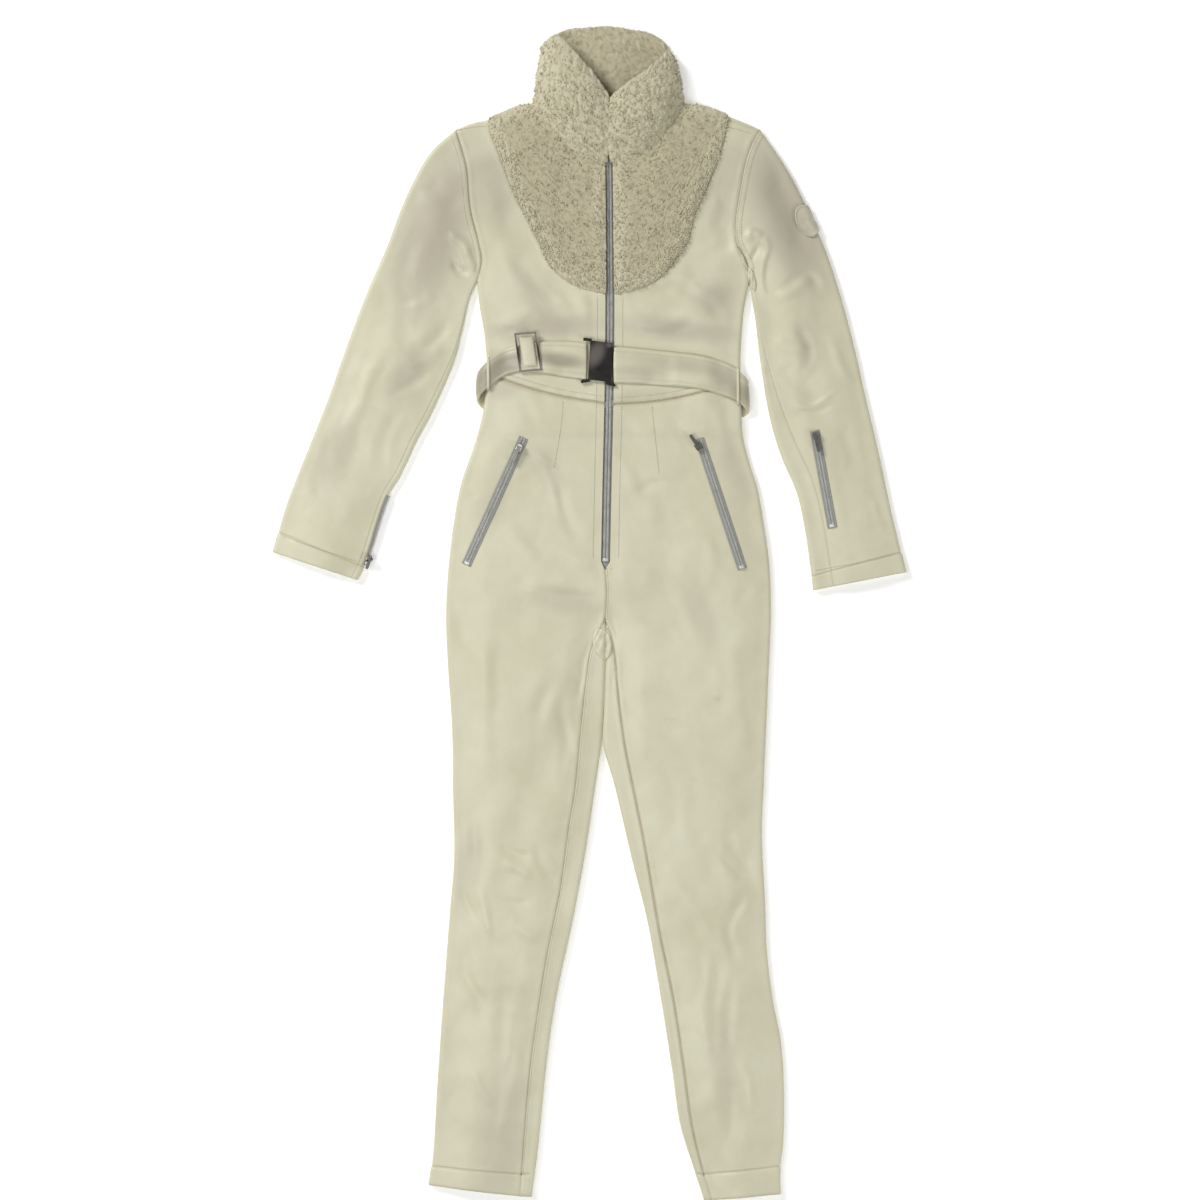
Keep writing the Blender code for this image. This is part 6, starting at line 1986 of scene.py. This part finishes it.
@dataclass
class Carrier:
    """A narrow loop of cloth that stands over the strap at a side seam."""

    side: Side
    x: float
    wide: float = 0.0034
    thick: float = 0.0011
    foot: float = 0.0032

    def build(self, strap: Array, wardrobe: Wardrobe) -> bpy.types.Object:
        """Makes the loop over the strap's outer face, down to the cloth on both sides of it.

        Args:
            strap: grid of the strap's outer face.
            wardrobe: the finishes.
        Returns:
            The loop.
        """
        x = float(metres([self.x, 0.0])[0])
        turn = int(np.argmin(strap[:, BELT_MIDDLE, 0] * -self.side.sign))
        front = (strap[:turn] if self.side is Side.LEFT else strap[turn:])[::-1]
        over = np.array([[np.interp(x, column[:, 0], column[:, axis]) for axis in (1, 2)]
                         for column in front.transpose(1, 0, 2)])
        ends = np.array([over[0, 0] + self.foot, over[-1, 0] - self.foot])
        cloth = SKIN.points(np.stack([[x, x], ends], -1), np.ones(1))[:, 2] + LAY
        over[:, 1] += 2 * LAY
        near = np.array([[over[0, 0] + 0.0010, over[0, 1]], [over[-1, 0] - 0.0010, over[-1, 1]]])
        path = np.array([[ends[0], cloth[0]], near[0], *over, near[1], [ends[1], cloth[1]]])
        run = np.concatenate([[0], np.cumsum(np.linalg.norm(np.diff(path, axis=0), axis=1))])
        t = np.linspace(0, run[-1], 90)
        y, z = np.interp(t, run, path[:, 0]), np.interp(t, run, path[:, 1])
        way = unit(np.stack([np.gradient(y), np.gradient(z)], -1))
        out = np.stack([np.zeros(len(t)), way[:, 1], -way[:, 0]], -1)
        out *= np.sign(out[:, 2].sum())
        share = np.linspace(-1, 1, 9)
        low = np.stack([np.broadcast_to(x + share * self.wide / 2, (len(t), 9)),
                        np.repeat(y[:, None], 9, 1), np.repeat(z[:, None], 9, 1)], -1)
        full = np.sqrt(np.clip(1 - np.abs(share) ** 4, 0, 1))
        rise = self.thick * (0.5 + 0.5 * full) * np.ones((len(t), 1))
        top = low + out[:, None] * rise[..., None]
        made = cloth_body(f"carrier_{self.side.word}_cloth", top, low, wardrobe.softshell, (1, 0.4))
        return settle(made, "softshell", f"carrier_{self.side.word}")


def pillow(name: str, corners: Sequence, level: float, thick: float, crown: float,
           finish: bpy.types.Material, cells: tuple[int, int] = (22, 34)) -> bpy.types.Object:
    """A soft-cornered cloth pad over four plan corners: a crowned top over a flat underside.

    Args:
        name: the object's name.
        corners: its plan corners, clockwise from the upper left.
        level: height of its underside.
        thick: its thickness.
        crown: how far its top is domed.
        finish: its material.
        cells: points across and down.
    Returns:
        The pad.
    """
    tl, tr, br, bl = (np.array(c, float) for c in corners)
    u = np.linspace(0, 1, cells[0])[None, :, None]
    v = np.linspace(0, 1, cells[1])[:, None, None]
    plan = metres((tl * (1 - u) + tr * u) * (1 - v) + (bl * (1 - u) + br * u) * v)
    a, b = np.abs(2 * u[..., 0] - 1), np.abs(2 * v[..., 0] - 1)
    full = (1 - a ** 8) ** 0.5 * (1 - b ** 8) ** 0.5
    wave = drift(plan, 0.012, 51) * 0.0005
    top = np.concatenate([plan, (level + thick * (0.45 + 0.55 * full) + (crown * (1 - a ** 2)
                                                                       + wave) * full)[..., None]], -1)
    low = np.concatenate([plan, np.full(plan.shape[:2], level)[..., None]], -1)
    # painted shade along two lines across the pad, near its ends
    dip = 0.4 * np.exp(-((b - 0.86) / 0.03) ** 2) * np.ones_like(a)
    return cloth_body(name, top, low, finish, (2, 0.5), dip)


# ---- stitches, with the places of those that follow no seam, in plan units

SHOULDER_ROWS = (((458, 131), (473, 128), (488, 126.5)), ((727, 128), (740, 131), (754, 135)))
DARTS = (((563, 402), (562, 420), (554, 469)), ((652, 407), (653, 420), (659, 474)))
LEG_HEMS = (((433, 1169), (486, 1174), (519, 1177)), ((710, 1180), (740, 1178), (781, 1175)))
SLEEVE_HEMS = (((281, 536), (320, 549), (360, 562)), ((812, 571), (856, 563), (901, 553)))
PLACKET_Y, PLACKET = (298, 560), 0.0105         # the placket's rows: stretch, distance (m)


@dataclass
class Stitching:
    """Rows of thread stitches on the top cloth, as one piece."""

    name: str
    long: float = 0.0029
    gap: float = 0.0009
    half: float = 0.00038

    def row(self, line: Line, offset: float, start: float = 0.0,
            end: float | None = None) -> tuple[Array, Array]:
        """One row beside a line.

        Args:
            line: the seam that it follows.
            offset: its distance to the line's left.
            start: where it begins along the line.
            end: where it ends, or the line's end.
        Returns:
            Points and quads.
        """
        runs = np.arange(start, (line.length if end is None else end) - self.long,
                         self.long + self.gap)
        spread = np.array([0.0, 0.12, 0.5, 0.88, 1.0]) * self.long
        high = np.array([-0.4, 0.5, 0.9, 0.5, -0.4]) * self.half
        full = np.array([0.35, 0.9, 1.0, 0.9, 0.35]) * self.half
        at_run = runs[:, None] + spread
        middle = line.at(at_run)
        ahead = unit(line.at(at_run + 0.0015) - line.at(at_run - 0.0015))
        cross = np.stack([-ahead[..., 1], ahead[..., 0]], -1)
        at, normal = SKIN.frames(middle + cross * offset)
        side = np.concatenate([cross, np.zeros(cross.shape[:-1] + (1,))], -1)
        centre = at + normal * (high + self.half * 0.3)[..., None]
        points, faces = bars(centre, side, normal, full)
        return points, turned_out(points, faces)

    def build(self, rows: Sequence[tuple[Array, Array]], wardrobe: Wardrobe) -> bpy.types.Object:
        """Makes one piece of all the rows."""
        points, faces = several(*rows)
        return settle(put_mesh(self.name, points, faces, wardrobe.thread), "softshell")


def stitch_all(wardrobe: Wardrobe) -> list[bpy.types.Object]:
    """The rows that show: armholes, waist, placket, darts, inseams and hems."""
    body, legs, arms = (Stitching(f"stitches_{n}") for n in ("bodice", "legs", "sleeves"))
    on_body, on_legs, on_arms = [], [], []
    for side in Side:
        s, arm, waist = side.sign, side.line("arm"), side.line("waist")
        for offset, end in ((0.0021, 0.01), (0.0078, 0.012)):
            on_arms.append(arms.row(arm, s * offset, 0.006, arm.length - end))
        for offset in (0.0020, 0.0085):
            on_body.append(body.row(waist, -s * offset, 0.006, waist.length - 0.004))
        on_legs.append(legs.row(zip_edge(side, *PLACKET_Y), s * PLACKET))
        on_legs.append(legs.row(side.line("inseam"), -s * 0.0022, 0.010))
    on_body += [body.row(Line.through(table), 0.0) for table in SHOULDER_ROWS]
    on_legs += [legs.row(Line.through(table), 0.0) for table in DARTS]
    on_legs.append(legs.row(LINES["centre"], 0.0024))
    on_legs += [legs.row(Line.through(table), 0.0, 0.004) for table in LEG_HEMS]
    on_arms += [arms.row(Line.through(table), 0.0, 0.004) for table in SLEEVE_HEMS]
    return [body.build(on_body, wardrobe), legs.build(on_legs, wardrobe),
            arms.build(on_arms, wardrobe)]


# ---- the sleeve's disc

@dataclass
class Badge:
    """A bare oval disc that laps round the sleeve's outer edge, with a raised rim."""

    at: tuple[float, float] = (812, 219)
    long: float = 0.0222
    round: float = 0.0138
    start: float = -0.0030
    turns: int = 72

    def build(self, wardrobe: Wardrobe) -> bpy.types.Object:
        """Makes the disc: rings of points on the edge's round form, thicker at the rim."""
        share = np.array([0.0, 0.2, 0.4, 0.6, 0.76, 0.84, 0.87, 0.9, 0.95, 0.985, 1.0])
        thick = np.array([1.2, 1.2, 1.2, 1.2, 1.2, 1.15, 1.5, 1.95, 2.0, 1.75, 1.2]) * MM
        angle = np.linspace(0, 2 * math.pi, self.turns, endpoint=False)
        line = LINES["out_r"]
        run = run_near(line, *self.at) + share[:, None] * np.cos(angle) * self.long
        around = self.start + self.round * (1 + share[:, None] * np.sin(angle))
        bed = round_bed(line, 0.0, 3 * LAY)
        at, normal = self.spots(bed, run, around)
        outer = at + normal * thick[:, None, None]
        flat = np.concatenate([outer[:1, :1].reshape(1, 3), outer[1:].reshape(-1, 3)])
        back = np.concatenate([at[:1, :1].reshape(1, 3), at[1:].reshape(-1, 3)])
        return self.disc(flat, back, len(share) - 1, wardrobe)

    @staticmethod
    def spots(bed: Bed, run: Array, around: Array) -> tuple[Array, Array]:
        """Points and normals for matching runs and offsets."""
        places, ways = [], []
        for r, a in zip(run, around):
            p, n = bed(r, a)
            k = np.arange(len(r))
            places.append(p[k, k])
            ways.append(n[k, k])
        return np.array(places), np.array(ways)

    def disc(self, flat: Array, back: Array, rings: int, wardrobe: Wardrobe) -> bpy.types.Object:
        """Joins the rings of both faces into one closed body."""
        n = self.turns
        ring = np.arange(n)
        after = np.roll(ring, -1)
        pair = ring[::2]
        faces = [np.stack([np.zeros(n // 2, int), 1 + pair, 2 + pair, 1 + (pair + 2) % n], -1)]
        for k in range(rings - 1):
            a, b = 1 + k * n, 1 + (k + 1) * n
            faces.append(np.stack([a + ring, b + ring, b + after, a + after], -1))
        upper = np.concatenate(faces)
        lower = upper[:, ::-1] + len(flat)
        rim = 1 + (rings - 1) * n
        side = np.stack([rim + ring, len(flat) + rim + ring, len(flat) + rim + after,
                         rim + after], -1)
        points = np.concatenate([flat, back])
        quads = turned_out(points, np.concatenate([upper, lower, side]))
        made = put_mesh("badge_disc", points, quads, wardrobe.disc)
        return settle(made, "badge_face", "badge")


# ---- studio

@dataclass
class Studio:
    """A pale floor, soft lights and a camera that looks straight down."""

    picture: float = 1200 * UNIT
    distance: float = 6.0
    middle: tuple[float, float] = (0.0143, 0.01755)
    sensor: float = 36.0
    sky: float = 0.18
    glow: float = 0.30
    half_floor: float = 6.0
    lights: tuple = (("key", (-3.8, 3.45, 3.75), 2.0, 236), ("fill", (3.2, -1.9, 2.6), 2.0, 56),
                     ("over", (-1.0, -0.5, 2.7), 0.9, 20))

    def build(self) -> None:
        """Sets the floor, the world, the lights and the camera."""
        scene = bpy.context.scene
        camera = bpy.data.cameras.new("camera")
        camera.sensor_width = self.sensor
        camera.lens = self.sensor * self.distance / self.picture
        eye = bpy.data.objects.new("camera", camera)
        eye.location = (*self.middle, self.distance)
        scene.collection.objects.link(eye)
        scene.camera = eye
        world = bpy.data.worlds.new("world")
        world.use_nodes = True
        background = world.node_tree.nodes["Background"]
        background.inputs[0].default_value = (1.0, 1.0, 1.0, 1)
        background.inputs[1].default_value = self.sky
        scene.world = world
        for lamp in self.lights:
            self.light(*lamp)
        self.floor()
        scene.view_settings.view_transform = "Standard"
        scene.view_settings.look = "None"

    @staticmethod
    def light(name: str, place: tuple[float, float, float], size: float, power: float) -> None:
        """A square softbox that faces the suit's middle.

        Args:
            name: the light's name.
            place: where it stands, in metres.
            size: length of its sides.
            power: its power in watts.
        """
        lamp = bpy.data.lights.new(name, "AREA")
        lamp.energy, lamp.size = power, size
        made = bpy.data.objects.new(name, lamp)
        made.location = place
        away = -np.array(place)
        made.rotation_euler = (math.atan2(math.hypot(away[0], away[1]), -away[2]), 0,
                               math.atan2(away[1], away[0]) - math.pi / 2)
        bpy.context.scene.collection.objects.link(made)

    def floor(self) -> None:
        """A wide pale floor under the suit."""
        look = Look("floor", Emission_Strength=self.glow)
        look.put(Base_Color=(0.97, 0.97, 0.965), Roughness=0.9, Emission_Color=(1.0, 1.0, 1.0))
        x, y = np.meshgrid(*[np.linspace(-self.half_floor, self.half_floor, 13)] * 2)
        points = np.stack([x, y, np.full_like(x, -0.0006)], -1).reshape(-1, 3)
        made = put_mesh("floor", points, grid_faces(13, 13)[:, ::-1], look.material)


@dataclass
class Knot:
    """Puckered cloth where panels meet: an oval dome with bent ridges, laid on the top cloth.

    Its middle, its half width and length, and the lean of its head are in plan units.
    """

    name: str
    x: float
    y: float
    wide: float
    long: float
    lean: float
    high: float = 1.0

    def build(self, wardrobe: Wardrobe) -> bpy.types.Object:
        """Makes the dome over a square of points that is drawn in to a disc.

        Args:
            wardrobe: the finishes.
        Returns:
            The knot.
        """
        u, v = np.meshgrid(np.linspace(-1, 1, 34), np.linspace(-1, 1, 44))
        u, v = u * np.sqrt(1 - v * v / 2), v * np.sqrt(1 - u * u / 2)
        full = np.sqrt(np.clip(1 - u * u - v * v, 0, 1))
        reach = 1 - 0.25 * np.clip(v, 0, 1) ** 2
        plan = metres(np.stack([self.x + self.wide * u * reach + self.lean * v,
                                self.y + self.long * v], -1))
        ridges = np.cos((u * 2.4 + v * 1.6 + 0.5 * np.sin(2.2 * v)) * 2.4)
        ridges = ridges * 0.6 + 0.4 * np.cos((v * 2.3 - u * 1.5) * 2.2)
        base = SKIN.points(plan, np.ones(1))
        level = base[..., 2].mean() + 0.5 * (base[..., 2] - base[..., 2].mean())
        level = np.maximum(base[..., 2] + 2 * LAY, level)
        top = np.concatenate([plan, (level + 0.0004 + full * self.high
                                     * (0.0021 + 0.0011 * ridges))[..., None]], -1)
        low = np.concatenate([plan, level[..., None]], -1)
        # painted shade low between the ridges
        dip = 0.6 * np.clip(0.35 - ridges, 0, 1) * full
        return settle(cloth_body(self.name, top, low, wardrobe.softshell, (1, 0.4), dip),
                      "softshell")


KNOTS = (Knot("crotch_knot", 602.3, 644, 9.4, 15.5, 2.2),
         Knot("underarm_knot", 751.4, 279.5, 3.6, 11.5, 2.6, 0.55))


def dress_nodes(wardrobe: Wardrobe) -> None:
    """Gives the hard CAD nodes that stay their finishes."""
    for name, finish in (("buckle", wardrobe.mirror), ("keeper", wardrobe.loop)):
        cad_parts[name].material_slots[0].material = finish
    for tag in ("pocket_left", "pocket_right", "cuff_left", "cuff_right"):
        for part, finish in (("slider_", wardrobe.bright), ("tab_", wardrobe.tab)):
            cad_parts[part + tag].material_slots[0].material = finish


STRAIGHT_ZIPS = (("pocket_zip_left", (524, 438), (466.5, 565)),
                 ("pocket_zip_right", (699, 439), (742, 569)),
                 ("cuff_zip_right", (814, 431), (832, 528)))


def zips(wardrobe: Wardrobe) -> None:
    """The front zip, the two pocket zips and the two cuff zips."""
    front = Line.through([(608.8, 156), *ZIP_MID[1:]]).between(157, 572)
    CoilZip("front_zip", plan_bed(front, -WALL - 2 * LAY), 0.0, front.length - 0.013,
            0.0073, 0.0036, tail=0.0125, sunk=0.0008).build(wardrobe)
    for name, a, b in STRAIGHT_ZIPS:
        line = Line.through([a, tuple((np.array(a) + b) / 2), b])
        CoilZip(name, plan_bed(line, LAY), 0.0, line.length).build(wardrobe)
    line = LINES["in_l"]
    start, end = (run_near(line, *p) for p in ((389, 496), (366, 565)))
    CoilZip("cuff_zip_left", round_bed(line, 0.0012, 2 * LAY), start, end,
            0.0046, 0.0027).build(wardrobe)


def main() -> None:
    """Builds every piece in order."""
    logging.basicConfig(level=logging.INFO, format="%(message)s")
    Studio().build()
    wardrobe = Wardrobe()
    panels = [Sleeve(Side.LEFT, 0.008), Sleeve(Side.RIGHT, 0.027),
              *map(BodiceFront, Side), BodiceBack(), *map(TrouserFront, Side),
              *map(TrouserBack, Side)]
    for panel in panels:
        panel.build(wardrobe.softshell)
    for pile in (*map(Bib, Side), Collar()):
        pile.build(wardrobe.fleece)
    strap = Belt().build(wardrobe)
    Carrier(Side.LEFT, 488.5).build(strap, wardrobe)
    Carrier(Side.RIGHT, 737.5).build(strap, wardrobe)
    zips(wardrobe)
    stitch_all(wardrobe)
    Badge().build(wardrobe)
    low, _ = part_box("belt_fold")
    fold = pillow("belt_fold_pad", BELT_FOLD, low[2], 0.0024, 0.0014, wardrobe.softshell)
    settle(fold, "softshell", "belt_fold")
    for knot in KNOTS:
        knot.build(wardrobe)
    dress_nodes(wardrobe)


if __name__ == "__main__":
    main()
